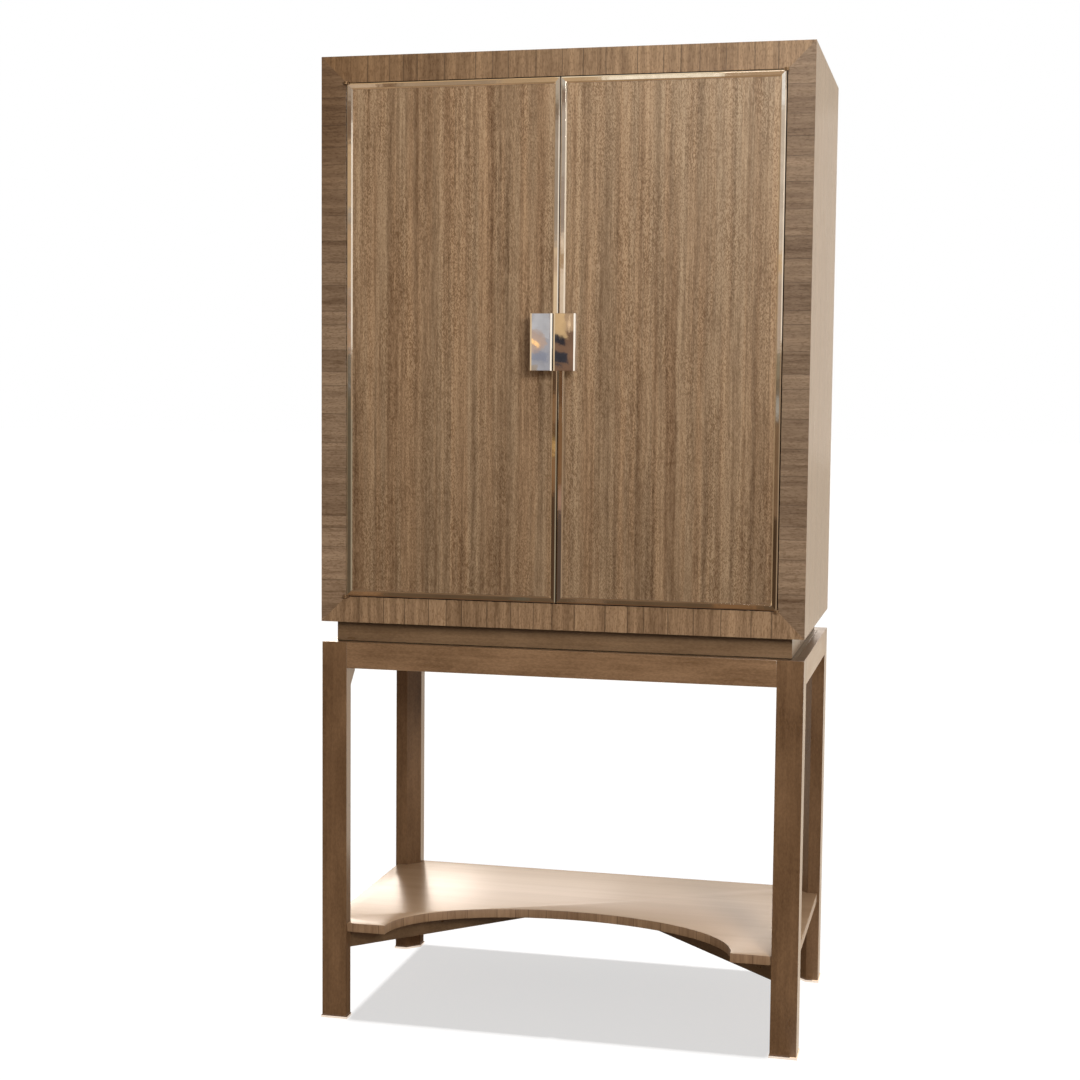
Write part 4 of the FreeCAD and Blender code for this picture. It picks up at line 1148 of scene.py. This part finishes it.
# %% A tree that sets fasteners on points
def fastener_tree():
    """Sets copies of Head on points with `facing` and `size`; Seed turns them at random."""
    group = bpy.data.node_groups.new("fasteners", "GeometryNodeTree")
    sockets = {}
    for name, kind in (("Geometry", "Geometry"), ("Head", "Object"), ("Finish", "Material"),
                       ("Seed", "Int")):
        socket = group.interface.new_socket(name, in_out="INPUT", socket_type="NodeSocket" + kind)
        sockets[name] = socket.identifier
    group.interface.new_socket("Geometry", in_out="OUTPUT", socket_type="NodeSocketGeometry")

    t = Tree(group)
    given = t.add("NodeGroupInput").node.outputs
    head = t.add("GeometryNodeObjectInfo", {"Object": given["Head"]}, output="Geometry")
    facing, size = (t.add("GeometryNodeInputNamedAttribute", {"Name": name}, data_type=kind)
                    for name, kind in (("facing", "FLOAT_VECTOR"), ("size", "FLOAT")))
    aim = t.add("FunctionNodeAlignRotationToVector", {"Vector": facing}, axis="Z")
    angle = t.add("FunctionNodeRandomValue", {3: math.tau, "Seed": given["Seed"]}, output=1,
                  data_type="FLOAT")
    spin = t.add("FunctionNodeAxisAngleToRotation", {"Axis": (0, 0, 1), "Angle": angle})
    turned = t.add("FunctionNodeRotateRotation", {0: aim, 1: spin}, rotation_space="LOCAL")
    heads = t.add("GeometryNodeInstanceOnPoints", {
        "Points": given["Geometry"], "Instance": head, "Rotation": turned, "Scale": size})
    real = t.add("GeometryNodeRealizeInstances", {"Geometry": heads})
    dressed = t.add("GeometryNodeSetMaterial", {"Geometry": real, "Material": given["Finish"]})
    t.add("NodeGroupOutput", {"Geometry": dressed})
    return group, sockets


fasteners, socket_of = fastener_tree()


def fasten(name, body, places, head, finish, seed):
    """Turns places, each (point, facing, size), into one mesh of fasteners on a body."""
    cloud = bpy.data.meshes.new(name)
    cloud.from_pydata([point for point, _, _ in places], [], [])
    facing = cloud.attributes.new("facing", "FLOAT_VECTOR", "POINT")
    facing.data.foreach_set("vector", [part for _, way, _ in places for part in way])
    size = cloud.attributes.new("size", "FLOAT", "POINT")
    size.data.foreach_set("value", [radius for _, _, radius in places])
    carrier = into_scene(name + "_points", cloud)
    modifier = carrier.modifiers.new("fasteners", "NODES")
    modifier.node_group = fasteners
    for socket, value in (("Head", head), ("Finish", finish), ("Seed", seed)):
        modifier[socket_of[socket]] = value
    graph = bpy.context.evaluated_depsgraph_get()
    mesh = bpy.data.meshes.new_from_object(carrier.evaluated_get(graph))
    bpy.data.objects.remove(carrier)
    mesh.name = name
    mesh.shade_smooth()
    mesh.set_sharp_from_angle(angle=math.radians(25))
    piece = into_scene(name, mesh)
    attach(piece, body)
    print(name, len(places), "fasteners,", len(mesh.polygons), "faces")


# %% [markdown]
# The panel is screwed down all round, and each hinge flap and strike plate along its middle.  The
# two flaps of a folding hinge meet, so the screws of one stand between the screws of the other.

# %% Places of the screws
BACK, FRONT = (0, 1, 0), (0, -1, 0)
PANEL_SCREW, FLAP_SCREW, STRIKE_SCREW = 0.0035, 0.0022, 0.0018      # radius of the head
PANEL_SUNK, FLAP_SUNK, STRIKE_SUNK = 0.0002, 0.00005, 0.0001        # how deep the head is set
IN_PANEL, IN_FLAP = 0.014, 0.0075       # from the rim of a panel or flap to its screws
FLAP_END = 0.0185                       # from the end of a flap to its first screw
PANEL_UP, PANEL_ACROSS, FLAP_LONG = 9, 8, 6
STRIKE_PARTS = (0.15, 0.85)             # of the length of a strike plate


def row(start, end, count):
    """Evenly spaced points from start to end."""
    start, end = Vector(start), Vector(end)
    return [start.lerp(end, step / (count - 1)) for step in range(count)]


def facing(way, radius, points):
    return [(point, way, radius) for point in points]


low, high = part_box("case_back")
y = high.y - PANEL_SUNK
left, right, bottom, top = low.x + IN_PANEL, high.x - IN_PANEL, low.z + IN_PANEL, high.z - IN_PANEL
panel = []
for x in (left, right):
    panel += row((x, y, bottom), (x, y, top), PANEL_UP)
for z in (bottom, top):
    panel += row((left, y, z), (right, y, z), PANEL_ACROSS)[1:-1]
carcass_screws = facing(BACK, PANEL_SCREW, panel)

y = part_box("counter")[0].y - FLAP_SUNK
leaf_low, leaf_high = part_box("right_leaf_hinge")
lower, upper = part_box("counter_hinge_flaps")[0].z + IN_FLAP, leaf_high.z - IN_FLAP
for side, hand in ((-1, "left"), (1, "right")):
    leaf, door = hand + "_leaf", hand + "_door"
    near, far = side * (leaf_low.x + FLAP_END), side * (leaf_high.x - FLAP_END)
    flap = row((near, y, lower), (far, y, lower), FLAP_LONG)
    carcass_screws += facing(FRONT, FLAP_SCREW, flap)
    between = [((a.x + b.x) / 2, y, upper) for a, b in zip(flap, flap[1:])]
    fasten(leaf + "_screws", leaf, facing(FRONT, FLAP_SCREW, between), screw,
           brass, seed=3 + side)
    low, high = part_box(door + "_strike")
    strike = [(low.x + (high.x - low.x) * part, high.y - STRIKE_SUNK, (low.z + high.z) / 2)
              for part in STRIKE_PARTS]
    fasten(door + "_screws", door, facing(BACK, STRIKE_SCREW, strike), screw,
           steel, seed=6 + side)
fasten("carcass_screws", "carcass", carcass_screws, screw, steel, seed=1)
bpy.data.objects.remove(screw)
